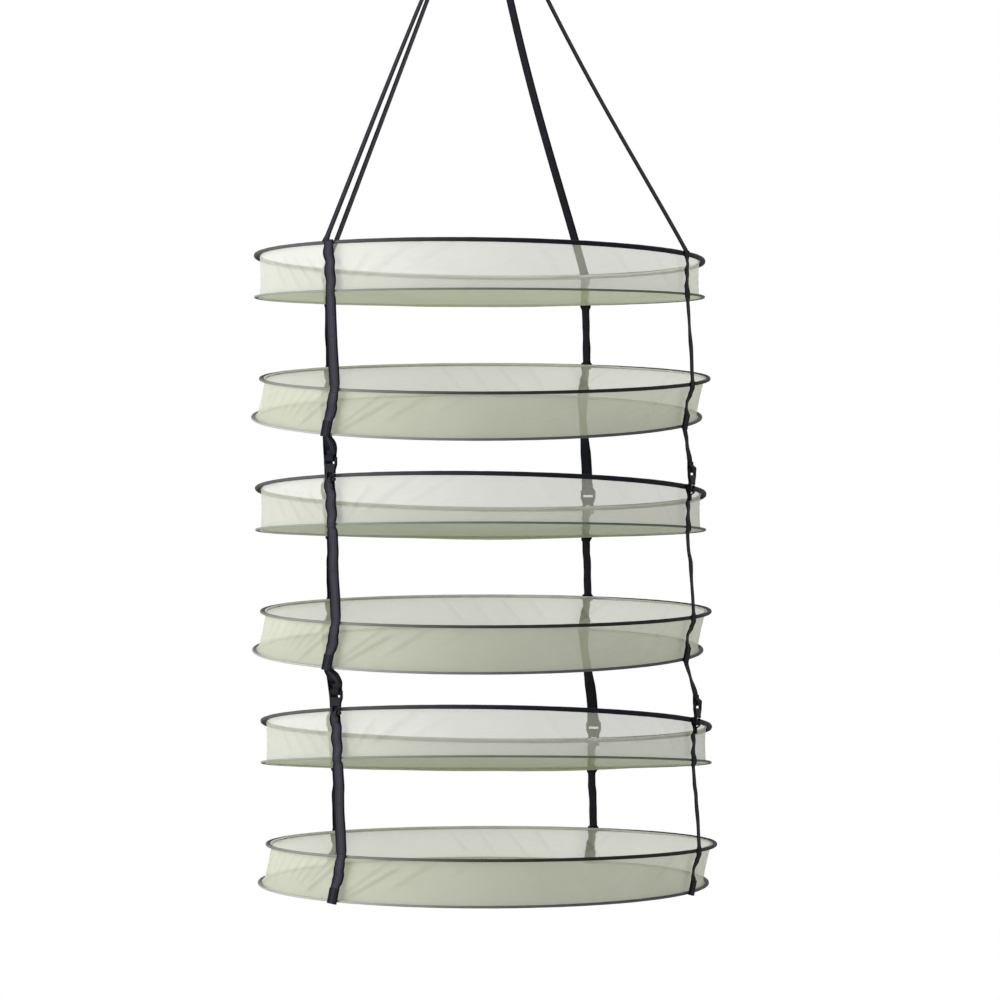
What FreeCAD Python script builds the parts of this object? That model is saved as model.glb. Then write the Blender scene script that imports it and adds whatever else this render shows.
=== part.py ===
import FreeCAD, Part
import Sketcher
import math
import os

# Hanging mesh drying rack: six round trays in three pairs, on four webbing straps.
# The origin is the hang point, inside the top of the hang ring. +Z is up, and the front is -Y.

Vector = FreeCAD.Vector
Rotation = FreeCAD.Rotation
Placement = FreeCAD.Placement

doc = FreeCAD.newDocument("drying_rack")

# Driving dimensions in millimetres and degrees. Each row is a name, a number and what it measures.
DRIVING = (
    ("rim_radius", 305, "outer edge of a hoop with its binding"),
    ("wall_inset", 9, "from the rim's edge in to the mesh wall"),
    ("bead_radius", 2.75, "bead of binding over the wire, top hoop of an upper tray"),
    ("hem_radius", 2.1, "bead of binding over the wire, every other hoop"),
    ("seam_thick", 1.8, "flat seam of the binding, where the mesh is sewn in"),
    ("wire_dia", 2.4, "spring steel hoop wire"),
    ("wire_clearance", 0.1, "between the wire and its binding"),
    ("mesh_thick", 1.0, "mesh wall and floor"),
    ("wall_height", 52, "top hoop to bottom hoop of one tray, centre to centre"),
    ("pair_gap", 110, "bottom hoop to the top hoop below it, inside a pair"),
    ("link_gap", 100, "bottom hoop to the top hoop below it, between pairs"),
    ("upper_top_lean", -4.6, "degrees about X, top hoop of an upper tray: front edge up"),
    ("upper_bottom_lean", -1.9, "degrees about X, bottom hoop of an upper tray"),
    ("lower_top_lean", 3.8, "degrees about X, top hoop of a lower tray: front edge down"),
    ("lower_bottom_lean", 5.8, "degrees about X, bottom hoop of a lower tray"),
    ("upper_top_roll", 0.75, "degrees about Y, top hoop of an upper tray: right edge down"),
    ("lower_top_shift", 7, "sideways, top hoop of a lower tray"),
    ("lower_bottom_shift", -4, "sideways, bottom hoop of a lower tray"),
    ("second_pair_shift", 1.5, "sideways, trays 3 and 4"),
    ("third_pair_shift", 9, "sideways, trays 5 and 6"),
    ("cloth_clearance", 0.3, "between soft pieces and their neighbours"),
    ("strap_width", 16, "webbing width"),
    ("strap_thick", 1.4, "webbing thickness"),
    ("strap_lip", 3.5, "wall strap beyond a hoop's centre"),
    ("lap_share", 0.68, "share of a lower tray's wall above the second ply sewn on each strap"),
    ("slack_depth", 4, "how far a slack wall strap waves"),
    ("front_left_angle", 229.5, "degrees from +X to the front left strap"),
    ("front_right_angle", 336.5, "degrees from +X to the front right strap"),
    ("back_right_angle", 62, "degrees from +X to the back right strap"),
    ("back_left_angle", 132, "degrees from +X to the back left strap"),
    ("hang_rise", 535, "first hoop up to the foot of the gather"),
    ("twist_share", 0.2, "share of a hang strap in which it turns to follow the rim"),
    ("gather_height", 24, "stitched stack where the four straps meet"),
    ("gather_neck", 2.5, "from the ring loop down to the stack"),
    ("ring_hole", 35, "inner diameter of the hang ring"),
    ("ring_wire", 5, "wire of the hang ring"),
    ("clip_thick", 4, "clip, front to back"),
    ("clip_rim", 1.9, "clip beside the webbing slot"),
    ("clip_bar", 3, "bar that the webbing goes round"),
    ("clip_slot", 6, "height of the webbing slot"),
    ("clip_taper", 7, "from the slot's foot to the hook's width"),
    ("slot_clearance", 0.35, "webbing to each end of its slot"),
    ("hook_bar", 2.8, "section of the hook's wall"),
    ("eye_width", 9.4, "hook eye, side to side"),
    ("eye_height", 9, "hook eye, up and down"),
    ("mouth_rise", 1.5, "hook's bottom bar up to its mouth"),
    ("mouth_height", 5.5, "gap in the hook's side wall"),
    ("clip_round", 0.6, "rounding of the clip's edges"),
    ("tongue_thick", 1.6, "sprung tongue across the mouth"),
    ("tongue_inset", 0.5, "tongue in from the clip's faces"),
    ("tab_width", 5, "tape tab that the hook holds"),
    ("tab_thick", 1.2, "tape of that tab"),
    ("tab_drop", 6, "hoop's centre down to the hook's bottom bar"),
    ("tab_tail", 19, "hoop's centre down to the foot of the tab"),
    ("tab_neck", 5, "hook's bottom bar down to where the tab's plies meet"),
    ("tab_shoulder", 2, "hook's bottom bar down to where the tab's sides turn in"),
    ("tab_arch", 0.8, "middle of the hook's bottom bar up to the middle of the tab's bend"),
    ("fold_rise", 0.5, "foot of the clip's bar up to the middle of the link strap's bend"),
    ("fold_neck", 1, "single ply above the link strap's tail"),
    ("tail_rise", 9, "end of the link strap's tail above the clip"),
    ("tail_sewn", 5, "how much of that tail is sewn flat"),
    ("sewn_gap", 0.1, "between two plies that are sewn together"),
)

TRAYS = (1, 2, 3, 4, 5, 6)
UPPER_TRAYS = (1, 3, 5)
LINKED_TRAYS = (3, 5)
CORNERS = ("front_left", "front_right", "back_right", "back_left")

# Webbing along a wall: how far down the wall, and how far out in slack depths.
UPPER_WAVE = ((0.32, 0), (0.48, -1), (0.62, -0.3), (0.78, -1.1), (0.94, 0))
LOWER_WAVE = ((0.06, 0), (0.14, 0.5), (0.24, 0.2), (0.42, -0.9), (0.55, -0.6), (0.64, 0))

sheet = doc.addObject("Spreadsheet::Sheet", "Sizes")
for row, (alias, number, note) in enumerate(DRIVING, start=1):
    sheet.set(f"A{row}", note)
    sheet.set(f"B{row}", str(number))
    sheet.setAlias(f"B{row}", alias)
doc.recompute()

subparts = []


def value(formula):
    """Number that a formula of the sheet's names gives."""
    return float(sheet.evalExpression(formula))


def keep(item, label):
    """Names a finished sub-part and puts it on the list of those that are written."""
    item.Label = label
    subparts.append(item)
    return item


def bind(item, **formulas):
    """Ties properties of an object to formulas: Base_x stands for Placement.Base.x."""
    for name, formula in formulas.items():
        if name.startswith("Base_"):
            name = "Placement.Base." + name[-1]
        item.setExpression(name, formula)
    return item


# Where the hoops are. A hoop's centre is under the hang point, at a level worked out from the sheet.

# The ring's lowest point, the fold of the loop round it, and the stitched stack under that.
LOOP_FOOT = "0 - Sizes.ring_hole - Sizes.ring_wire - Sizes.cloth_clearance - Sizes.strap_thick"
GATHER_TOP = LOOP_FOOT + " - Sizes.gather_neck"
GATHER_FOOT = GATHER_TOP + " - Sizes.gather_height"


def top_level(tray):
    """Formula for the height of a tray's top hoop."""
    gaps = f" - {tray // 2} * Sizes.pair_gap - {(tray - 1) // 2} * Sizes.link_gap"
    return GATHER_FOOT + " - Sizes.hang_rise" + f" - {tray - 1} * Sizes.wall_height" + gaps


def level(tray, side):
    """Formula for the height of a tray's top or bottom hoop."""
    return top_level(tray) + (" - Sizes.wall_height" if side == "bottom" else "")


def shift(tray, side):
    """Formula for how far a hoop sits sideways: each pair hangs a little off the one above it."""
    pair = ("0", "Sizes.second_pair_shift", "Sizes.third_pair_shift")[(tray - 1) // 2]
    return pair if tray in UPPER_TRAYS else f"{pair} + Sizes.lower_{side}_shift"


def lean(tray, side):
    """Formula for a hoop's turn about X in degrees."""
    rank = "upper" if tray in UPPER_TRAYS else "lower"
    return f"Sizes.{rank}_{side}_lean"


def roll(tray, side):
    """Formula for a hoop's turn about Y in degrees: only an upper tray's top hoop has one."""
    return "Sizes.upper_top_roll" if tray in UPPER_TRAYS and side == "top" else "0"


def tilt(tray, side):
    """Formulas for the one turn that is both: its angle, and the X and Y of its level axis."""
    about_x, about_y = lean(tray, side), roll(tray, side)
    angle = f"sqrt({about_x} ^ 2 + {about_y} ^ 2)"
    return angle, f"{about_x} / {angle}", f"{about_y} / {angle}"


def hoop_place(tray, side):
    """Placement whose origin is the hoop's centre and whose Z is the hoop's axis."""
    angle, axis_x, axis_y = (value(formula) for formula in tilt(tray, side))
    centre = Vector(value(shift(tray, side)), 0, value(level(tray, side)))
    return Placement(centre, Rotation(Vector(axis_x, axis_y, 0), angle))


def set_on_hoop(item, tray, side):
    """Ties an object's placement to the hoop's."""
    item.Placement = hoop_place(tray, side)
    bind(item, Base_x=shift(tray, side), Base_z=level(tray, side))
    angle, axis_x, axis_y = tilt(tray, side)
    item.setExpression("Placement.Rotation.Angle", angle)
    item.setExpression("Placement.Rotation.Axis.x", axis_x)
    item.setExpression("Placement.Rotation.Axis.y", axis_y)


def corner_angle(corner):
    """Angle of a strap in radians, from +X towards the back."""
    return math.radians(value(f"Sizes.{corner}_angle"))


def outward(corner):
    """Level direction out of the rack at a strap."""
    angle = corner_angle(corner)
    return Vector(math.cos(angle), math.sin(angle), 0)


def along_rim(corner):
    """Level direction along the rim at a strap, which the webbing's width follows."""
    angle = corner_angle(corner)
    return Vector(-math.sin(angle), math.cos(angle), 0)


def strap_point(corner, tray, side):
    """Middle of the webbing where a strap lies against a hoop."""
    out = value("Sizes.rim_radius + Sizes.cloth_clearance + Sizes.strap_thick / 2")
    point = outward(corner) * out
    hoop = hoop_place(tray, side)
    axis = hoop.Rotation.multVec(Vector(0, 0, 1))
    return hoop.Base + point - Vector(0, 0, axis.dot(point) / axis.z)


# Hoops: a spring steel wire in a sewn binding, top and bottom of each tray.

SEAM_EDGE = "Sizes.rim_radius - Sizes.wall_inset - Sizes.mesh_thick"


def bead_size(tray, side):
    """Formula for the bead's radius: the top hoop of a pair has the thicker binding."""
    return "Sizes.bead_radius" if tray in UPPER_TRAYS and side == "top" else "Sizes.hem_radius"


def bead_middle(tray, side):
    """Formula for the radius of a hoop at its wire: every bead's outer edge is at the rim."""
    return "Sizes.rim_radius - " + bead_size(tray, side)


def hoop_wire(tray, side):
    wire = doc.addObject("Part::Torus", f"tray_{tray}_{side}_wire")
    bind(wire, Radius1=bead_middle(tray, side), Radius2="Sizes.wire_dia / 2")
    set_on_hoop(wire, tray, side)
    return keep(wire, f"tray_{tray}_{side}_wire")


def own_plane(body, role):
    """Origin plane of a body, found by its role."""
    return next(p for p in body.Origin.OriginFeatures if p.Role == role)


def binding_profile(body, bead_centre, bead_radius):
    """Section of a binding: a round bead with a bore for the wire, and a flat seam to its inside."""
    sketch = body.newObject("Sketcher::SketchObject", "section")
    sketch.AttachmentSupport = [(own_plane(body, "XZ_Plane"), "")]
    sketch.MapMode = "FlatFace"
    centre, bead = value(bead_centre), value(bead_radius)
    half, edge = value("Sizes.seam_thick / 2"), value(SEAM_EDGE)
    open_angle = math.pi - math.asin(half / bead)
    meet = centre + bead * math.cos(open_angle)
    middle = Vector(centre, 0, 0)
    axis = Vector(0, 0, 1)
    arc = Part.ArcOfCircle(Part.Circle(middle, axis, bead), -open_angle, open_angle)
    sketch.addGeometry(arc, False)
    sketch.addGeometry(Part.LineSegment(Vector(meet, half, 0), Vector(edge, half, 0)), False)
    sketch.addGeometry(Part.LineSegment(Vector(edge, half, 0), Vector(edge, -half, 0)), False)
    sketch.addGeometry(Part.LineSegment(Vector(edge, -half, 0), Vector(meet, -half, 0)), False)
    sketch.addGeometry(Part.Circle(middle, axis, value("Sizes.wire_dia / 2")), False)
    rule = Sketcher.Constraint
    sketch.addConstraint([
        rule("Coincident", 0, 2, 1, 1),
        rule("Coincident", 1, 2, 2, 1),
        rule("Coincident", 2, 2, 3, 1),
        rule("Coincident", 3, 2, 0, 1),
        rule("Horizontal", 1),
        rule("Horizontal", 3),
        rule("PointOnObject", 0, 3, -1),
        rule("Symmetric", 1, 2, 3, 1, -1),
        rule("Coincident", 4, 3, 0, 3),
    ])
    sizes = (
        ("bead_centre", rule("DistanceX", -1, 1, 0, 3, centre), bead_centre),
        ("bead", rule("Radius", 0, bead), bead_radius),
        ("seam", rule("DistanceY", 3, 1, 1, 2, 2 * half), "Sizes.seam_thick"),
        ("seam_edge", rule("DistanceX", -1, 1, 1, 2, edge), SEAM_EDGE),
        ("bore", rule("Radius", 4, half), "Sizes.wire_dia / 2 + Sizes.wire_clearance"),
    )
    for name, constraint, formula in sizes:
        sketch.renameConstraint(sketch.addConstraint(constraint), name)
        sketch.setExpression(f"Constraints.{name}", formula)
    return sketch


def hoop_binding(tray, side):
    body = doc.addObject("PartDesign::Body", f"tray_{tray}_{side}_binding")
    sketch = binding_profile(body, bead_middle(tray, side), bead_size(tray, side))
    turn = body.newObject("PartDesign::Revolution", "turn")
    turn.Profile = sketch
    turn.ReferenceAxis = (sketch, ["V_Axis"])
    turn.Angle = 360
    body.Tip = turn
    set_on_hoop(body, tray, side)
    return keep(body, f"tray_{tray}_{side}_binding")


# Mesh: a wall between the two hoops, and a floor across the bottom hoop.

WALL_RADIUS = "Sizes.rim_radius - Sizes.wall_inset"


def tray_wall(tray):
    """Ring of mesh from just under the top hoop's seam to just over the bottom hoop's seam."""
    end_gap = Placement(Vector(0, 0, value("Sizes.seam_thick / 2 + Sizes.cloth_clearance")), Rotation())
    down = hoop_place(tray, "top").inverse().multiply(hoop_place(tray, "bottom"))
    body = doc.addObject("PartDesign::Body", f"tray_{tray}_wall")
    rings = {}
    for side, offset in (("top", end_gap.inverse()), ("bottom", down.multiply(end_gap))):
        for edge, formula in (("outer", WALL_RADIUS), ("inner", SEAM_EDGE)):
            sketch = body.newObject("Sketcher::SketchObject", f"{side}_{edge}")
            sketch.AttachmentSupport = [(own_plane(body, "XY_Plane"), "")]
            sketch.MapMode = "FlatFace"
            sketch.AttachmentOffset = offset
            sketch.addGeometry(Part.Circle(Vector(), Vector(0, 0, 1), value(formula)), False)
            sketch.addConstraint(Sketcher.Constraint("Coincident", 0, 3, -1, 1))
            rule = sketch.addConstraint(Sketcher.Constraint("Radius", 0, value(formula)))
            sketch.renameConstraint(rule, "edge")
            sketch.setExpression("Constraints.edge", formula)
            rings[side, edge] = sketch
    for kind, edge in (("PartDesign::AdditiveLoft", "outer"), ("PartDesign::SubtractiveLoft", "inner")):
        loft = body.newObject(kind, edge)
        loft.Profile = rings["top", edge]
        loft.Sections = [rings["bottom", edge]]
        loft.Ruled = True
        doc.recompute()
    set_on_hoop(body, tray, "top")
    return keep(body, f"tray_{tray}_wall")


def tray_floor(tray):
    """Disc of mesh inside the bottom hoop's seam."""
    body = doc.addObject("PartDesign::Body", f"tray_{tray}_floor")
    sketch = body.newObject("Sketcher::SketchObject", "disc")
    sketch.AttachmentSupport = [(own_plane(body, "XY_Plane"), "")]
    sketch.MapMode = "FlatFace"
    radius = SEAM_EDGE + " - Sizes.cloth_clearance"
    sketch.addGeometry(Part.Circle(Vector(), Vector(0, 0, 1), value(radius)), False)
    sketch.addConstraint(Sketcher.Constraint("Coincident", 0, 3, -1, 1))
    rule = sketch.addConstraint(Sketcher.Constraint("Radius", 0, value(radius)))
    sketch.renameConstraint(rule, "edge")
    sketch.setExpression("Constraints.edge", radius)
    pad = body.newObject("PartDesign::Pad", "mesh")
    pad.Profile = sketch
    pad.Midplane = True
    pad.setExpression("Length", "Sizes.mesh_thick")
    body.Tip = pad
    set_on_hoop(body, tray, "bottom")
    return keep(body, f"tray_{tray}_floor")


# Webbing: level sections of strap, each turned to the rim, joined by a ruled loft.

# Webbing between hoops starts this far from a hoop's centre, just clear of the wall strap's lip.
STRAP_END = "Sizes.strap_lip + Sizes.cloth_clearance"


def rectangle(point, half_width, half_thick):
    corners = [point + half_width * across + half_thick * out
               for across, out in ((-1, -1), (1, -1), (1, 1), (-1, 1))]
    return Part.makePolygon(corners + corners[:1])


def section(point, corner):
    """Level rectangle of webbing about a point: its width follows the rim."""
    half_width = along_rim(corner) * (value("Sizes.strap_width") / 2)
    half_thick = outward(corner) * (value("Sizes.strap_thick") / 2)
    return rectangle(point, half_width, half_thick)


def band(sections):
    return Part.makeLoft(sections, True, True)


def place_soft(label, shapes, origin):
    """Writes a group of webbing pieces as one sub-part, measured from a point of its own."""
    back = FreeCAD.Matrix()
    back.move(origin * -1)
    feature = doc.addObject("Part::Feature", label)
    feature.Shape = Part.makeCompound(shapes).transformed(back, True)
    feature.Placement = Placement(origin, Rotation())
    return keep(feature, label)


def raised(point, height):
    return point + Vector(0, 0, height)


def wall_strap(corner, tray):
    """Slack webbing from above the top hoop to below the bottom hoop, flat against both."""
    lip = value("Sizes.strap_lip")
    head = strap_point(corner, tray, "top")
    foot = strap_point(corner, tray, "bottom")
    first, last = raised(head, -lip), raised(foot, lip)
    wave = UPPER_WAVE if tray in UPPER_TRAYS else LOWER_WAVE
    slack = [first + (last - first) * share + outward(corner) * (depths * value("Sizes.slack_depth"))
             for share, depths in wave]
    points = [raised(head, lip), first] + slack + [last, raised(foot, -lip)]
    return band([section(point, corner) for point in points])


def strap_lap(corner, tray):
    """Second ply on the outside of a lower tray's wall strap, from the bottom hoop up."""
    lip = value("Sizes.strap_lip")
    first = raised(strap_point(corner, tray, "top"), -lip)
    foot = strap_point(corner, tray, "bottom")
    last = raised(foot, lip)
    head = first + (last - first) * value("Sizes.lap_share")
    over = outward(corner) * value("Sizes.strap_thick + Sizes.sewn_gap")
    return band([section(point + over, corner) for point in (raised(foot, -lip), last, head)])


def profile(steps, corner, point, width):
    """Flat outline of tape, drawn as (out, up) from a point and given its width along the rim.

    A step is a corner, or the middle and the end of an arc.
    """
    def place(out, up):
        return raised(point + outward(corner) * out, up)

    edges = []
    last = place(*steps[0])
    for step in steps[1:]:
        if isinstance(step[0], tuple):
            middle, end = place(*step[0]), place(*step[1])
            edges.append(Part.Arc(last, middle, end).toShape())
        else:
            end = place(*step)
            edges.append(Part.LineSegment(last, end).toShape())
        last = end
    face = Part.Face(Part.Wire(edges))
    across = along_rim(corner) * width
    face.translate(across * -0.5)
    return face.extrude(across)


# Clip: a flat hook on the link strap. Its own origin is the middle of the hook's bottom bar.

HOOK_WIDTH = "(Sizes.eye_width + 2 * Sizes.hook_bar)"
CLIP_WIDTH = "(Sizes.strap_width + 2 * Sizes.slot_clearance + 2 * Sizes.clip_rim)"
HOOK_TOP = "(Sizes.eye_height + 1.5 * Sizes.hook_bar)"
FRAME_FOOT = f"({HOOK_TOP} + Sizes.clip_taper)"
SLOT_FOOT = f"({FRAME_FOOT} + Sizes.hook_bar / 2)"
BAR_FOOT = f"({SLOT_FOOT} + Sizes.clip_slot)"
CLIP_TOP = f"({BAR_FOOT} + Sizes.clip_bar)"
MOUTH_FOOT = "(Sizes.hook_bar / 2 + Sizes.mouth_rise)"
# The tab's inner ply and its clearances lie between the wall strap's middle and the clip's.
CLIP_OUT = ("(Sizes.strap_thick / 2 + Sizes.sewn_gap + Sizes.tab_thick"
            " + Sizes.cloth_clearance + Sizes.clip_thick / 2)")


def block(name, width, foot, height, thick="Sizes.clip_thick", middle="0"):
    """Box centred on the clip's thickness, and on a line beside its middle."""
    box = doc.addObject("Part::Box", name)
    bind(box, Length=thick, Width=width, Height=height)
    bind(box, Base_x=f"0 - {thick} / 2", Base_y=f"{middle} - {width} / 2", Base_z=foot)
    return box


def clip_master():
    """Frame with a slot for webbing, a taper, and a hook with its mouth in one side."""
    hook = block("hook", HOOK_WIDTH, "0 - Sizes.hook_bar / 2", f"{HOOK_TOP} + Sizes.hook_bar / 2")
    frame = block("frame", CLIP_WIDTH, FRAME_FOOT, f"{CLIP_TOP} - {FRAME_FOOT}")
    taper = doc.addObject("Part::Wedge", "taper")
    taper.Placement = Placement(Vector(), Rotation(Vector(1, 0, 0), 90))
    bind(taper, Xmin="0 - Sizes.clip_thick / 2", Xmax="Sizes.clip_thick / 2",
         X2min="0 - Sizes.clip_thick / 2", X2max="Sizes.clip_thick / 2",
         Ymin="0", Ymax="Sizes.clip_taper",
         Zmin=f"0 - {HOOK_WIDTH} / 2", Zmax=f"{HOOK_WIDTH} / 2",
         Z2min=f"0 - {CLIP_WIDTH} / 2", Z2max=f"{CLIP_WIDTH} / 2",
         Base_z=HOOK_TOP)
    outer = doc.addObject("Part::MultiFuse", "outer")
    outer.Shapes = [hook, taper, frame]
    outer.Refine = True
    cut_thick = "(2 * Sizes.clip_thick)"
    slot = block("slot", "(Sizes.strap_width + 2 * Sizes.slot_clearance)", SLOT_FOOT,
                 "Sizes.clip_slot", cut_thick)
    eye = block("eye", "Sizes.eye_width", "Sizes.hook_bar / 2", "Sizes.eye_height", cut_thick)
    mouth = block("mouth", "(2 * Sizes.hook_bar)", MOUTH_FOOT, "Sizes.mouth_height", cut_thick,
                  "(Sizes.eye_width / 2 + Sizes.hook_bar)")
    holes = doc.addObject("Part::MultiFuse", "holes")
    holes.Shapes = [slot, eye, mouth]
    clip = doc.addObject("Part::Cut", "clip")
    clip.Base = outer
    clip.Tool = holes
    doc.recompute()
    edge_round = doc.addObject("Part::Fillet", "clip_rounded")
    edge_round.Base = clip
    size = value("Sizes.clip_round")
    edge_round.Edges = [(index, size, size)
                        for index, edge in enumerate(clip.Shape.Edges, start=1) if is_across(edge)]
    return edge_round


def is_across(edge):
    """Does an edge of the clip run from its front to its back?"""
    first, last = edge.Vertexes[0].Point, edge.Vertexes[-1].Point
    return abs(abs(first.x - last.x) - value("Sizes.clip_thick")) < 1e-6


TONGUE_MIDDLE = "(Sizes.eye_width / 2 + Sizes.hook_bar / 2)"
TONGUE_TOP = f"({MOUTH_FOOT} + Sizes.mouth_height - Sizes.cloth_clearance)"


def tongue_master():
    """Sprung tongue that closes the hook's mouth."""
    return block("tongue", "Sizes.tongue_thick", f"({MOUTH_FOOT} + Sizes.cloth_clearance)",
                 "(Sizes.mouth_height - 2 * Sizes.cloth_clearance)",
                 "(Sizes.clip_thick - 2 * Sizes.tongue_inset)", TONGUE_MIDDLE)


def clip_place(corner, tray):
    """Placement of a clip: its own X points out of the rack, and its Y along the rim."""
    base = raised(strap_point(corner, tray, "top"), -value("Sizes.tab_drop"))
    base += outward(corner) * value(CLIP_OUT)
    return Placement(base, Rotation(Vector(0, 0, 1), value(f"Sizes.{corner}_angle")))


def tab(corner, tray):
    """Folded tape over the hook's bottom bar, sewn flat on the outside of the wall strap."""
    out, thick = value(CLIP_OUT), value("Sizes.tab_thick")
    inner = value("Sizes.clip_thick / 2 + Sizes.cloth_clearance")
    outer = inner + thick
    near = value("Sizes.strap_thick / 2 + Sizes.sewn_gap")
    foot, bar = -value("Sizes.tab_tail"), -value("Sizes.tab_drop")
    neck, shoulder = bar - value("Sizes.tab_neck"), bar - value("Sizes.tab_shoulder")
    arch = bar + value("Sizes.tab_arch")
    steps = (
        (near, foot), (near, neck), (out - outer, shoulder), (out - outer, arch),
        ((out, arch + outer), (out + outer, arch)), (out + outer, shoulder),
        (near + 2 * thick, neck), (near + 2 * thick, foot), (near, foot),
    )
    hole = (
        (out - inner, arch), ((out, arch + inner), (out + inner, arch)),
        (out + inner, shoulder + thick / 3), (near + thick, neck + thick),
        (out - inner, shoulder + thick / 3), (out - inner, arch),
    )
    point = strap_point(corner, tray, "top")
    width = value("Sizes.tab_width")
    return profile(steps, corner, point, width).cut(profile(hole, corner, point, 2 * width))


def link_strap(corner, tray):
    """Webbing from the hoop above down to the clip, round its bar and up to a sewn tail."""
    thick, slack = value("Sizes.strap_thick"), value("Sizes.cloth_clearance")
    inner = value("Sizes.clip_thick / 2") + slack
    outer = inner + thick
    bend = value(BAR_FOOT + " + Sizes.fold_rise")
    bar_top = value(CLIP_TOP)
    tail_end = bar_top + value("Sizes.tail_rise")
    tail_foot = tail_end - value("Sizes.tail_sewn")
    lay = value("Sizes.sewn_gap") - inner
    join = tail_end + value("Sizes.fold_neck")
    steps = (
        (-outer, join), (-outer, bend), ((0, bend - outer), (outer, bend)),
        (outer, bar_top + 2 * slack), (lay + thick, tail_foot), (lay + thick, tail_end),
        (lay, tail_end), (lay, tail_foot - slack), (inner, bar_top + slack), (inner, bend),
        ((0, bend - inner), (-inner, bend)), (-inner, join), (-outer, join),
    )
    point = clip_place(corner, tray).Base
    fold = profile(steps, corner, point, value("Sizes.strap_width"))
    head = raised(strap_point(corner, tray - 1, "bottom"), -value(STRAP_END))
    foot = raised(point - outward(corner) * (inner + thick / 2), join)
    return band([section(head, corner), section(foot, corner)]).fuse(fold).removeSplitter()


def gap_strap(corner, tray):
    """Straight webbing from a tray's bottom hoop to the top hoop of the tray below it."""
    head = raised(strap_point(corner, tray, "bottom"), -value(STRAP_END))
    foot = raised(strap_point(corner, tray + 1, "top"), value(STRAP_END))
    return band([section(head, corner), section(foot, corner)])


# Hanger: a welded ring, a loop of webbing through it, and the four straps sewn to the loop.

# The stack's plies out from its middle, behind it and in front of it.
STACK = {"front_left": -2, "front_right": -1, "back_left": 1, "back_right": 2}


def hang_ring():
    ring = doc.addObject("Part::Torus", "hang_ring")
    ring.Placement = Placement(Vector(), Rotation(Vector(1, 0, 0), 90))
    bind(ring, Radius1="(Sizes.ring_hole + Sizes.ring_wire) / 2", Radius2="Sizes.ring_wire / 2",
         Base_z="0 - Sizes.ring_hole / 2")
    return keep(ring, "hang_ring")


def hang_loop():
    """Webbing folded over the ring's wire, with its two plies sewn together below."""
    half = value("Sizes.strap_width / 2")
    thick = value("Sizes.strap_thick")
    inner = value("Sizes.ring_wire / 2 + Sizes.cloth_clearance")
    outer = inner + thick
    hole_radius = value("Sizes.ring_hole / 2")
    crown = value("Sizes.cloth_clearance") - hole_radius - math.sqrt(hole_radius ** 2 - half ** 2)
    bend = crown - inner
    low = value(LOOP_FOOT) + thick + inner
    top, foot = value(GATHER_TOP), value(GATHER_FOOT)

    def yz(across, up):
        return Vector(-half, across, up)

    def outline(points, arcs):
        edges = []
        for index, start in enumerate(points):
            end = points[(index + 1) % len(points)]
            if index in arcs:
                edges.append(Part.Arc(yz(*start), yz(*arcs[index]), yz(*end)).toShape())
            else:
                edges.append(Part.LineSegment(yz(*start), yz(*end)).toShape())
        return Part.Face(Part.Wire(edges)).extrude(Vector(2 * half, 0, 0))

    body = outline(((-outer, bend), (outer, bend), (outer, low), (thick, top), (thick, foot),
                    (-thick, foot), (-thick, top), (-outer, low)), {0: (0, bend + outer)})
    hole = outline(((-inner, bend), (inner, bend), (inner, low), (-inner, low)),
                   {0: (0, bend + inner), 2: (0, low - inner)})
    feature = doc.addObject("Part::Feature", "hang_loop")
    feature.Shape = body.cut(hole)
    feature.Placement = Placement(Vector(), Rotation())
    return keep(feature, "hang_loop")


def hang_strap(corner):
    """Webbing sewn to the stack, then spread down and outwards to the first hoop."""
    thick, gap = value("Sizes.strap_thick"), value("Sizes.sewn_gap")
    side = math.copysign(1, STACK[corner])
    across = side * (thick / 2 + abs(STACK[corner]) * (thick + gap))
    half_width = Vector(-side, 0, 0) * (value("Sizes.strap_width") / 2)
    half_thick = Vector(0, side, 0) * (thick / 2)
    stack = [rectangle(Vector(0, across, value(height)), half_width, half_thick)
             for height in (GATHER_TOP + " - Sizes.cloth_clearance", GATHER_FOOT)]
    end = raised(strap_point(corner, 1, "top"), value(STRAP_END))
    start = Vector(0, across, value(GATHER_FOOT))
    turned = start + (end - start) * value("Sizes.twist_share")
    return band(stack + [section(turned, corner), section(end, corner)])


# Making the rack, from the ring down.

hang_ring()
hang_loop()
place_soft("hang_straps", [hang_strap(corner) for corner in CORNERS], Vector(0, 0, value(GATHER_TOP)))

clip = clip_master()
tongue = tongue_master()
doc.recompute()

for tray in TRAYS:
    for side in ("top", "bottom"):
        hoop_wire(tray, side)
        hoop_binding(tray, side)
    tray_wall(tray)
    tray_floor(tray)
    webbing = [wall_strap(corner, tray) for corner in CORNERS]
    if tray in LINKED_TRAYS:
        webbing += [tab(corner, tray) for corner in CORNERS]
    if tray not in UPPER_TRAYS:
        webbing += [strap_lap(corner, tray) for corner in CORNERS]
    place_soft(f"tray_{tray}_wall_straps", webbing, hoop_place(tray, "top").Base)
    if tray in UPPER_TRAYS:
        straps = [gap_strap(corner, tray) for corner in CORNERS]
        place_soft(f"gap_straps_{tray}_{tray + 1}", straps, hoop_place(tray, "bottom").Base)

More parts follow.
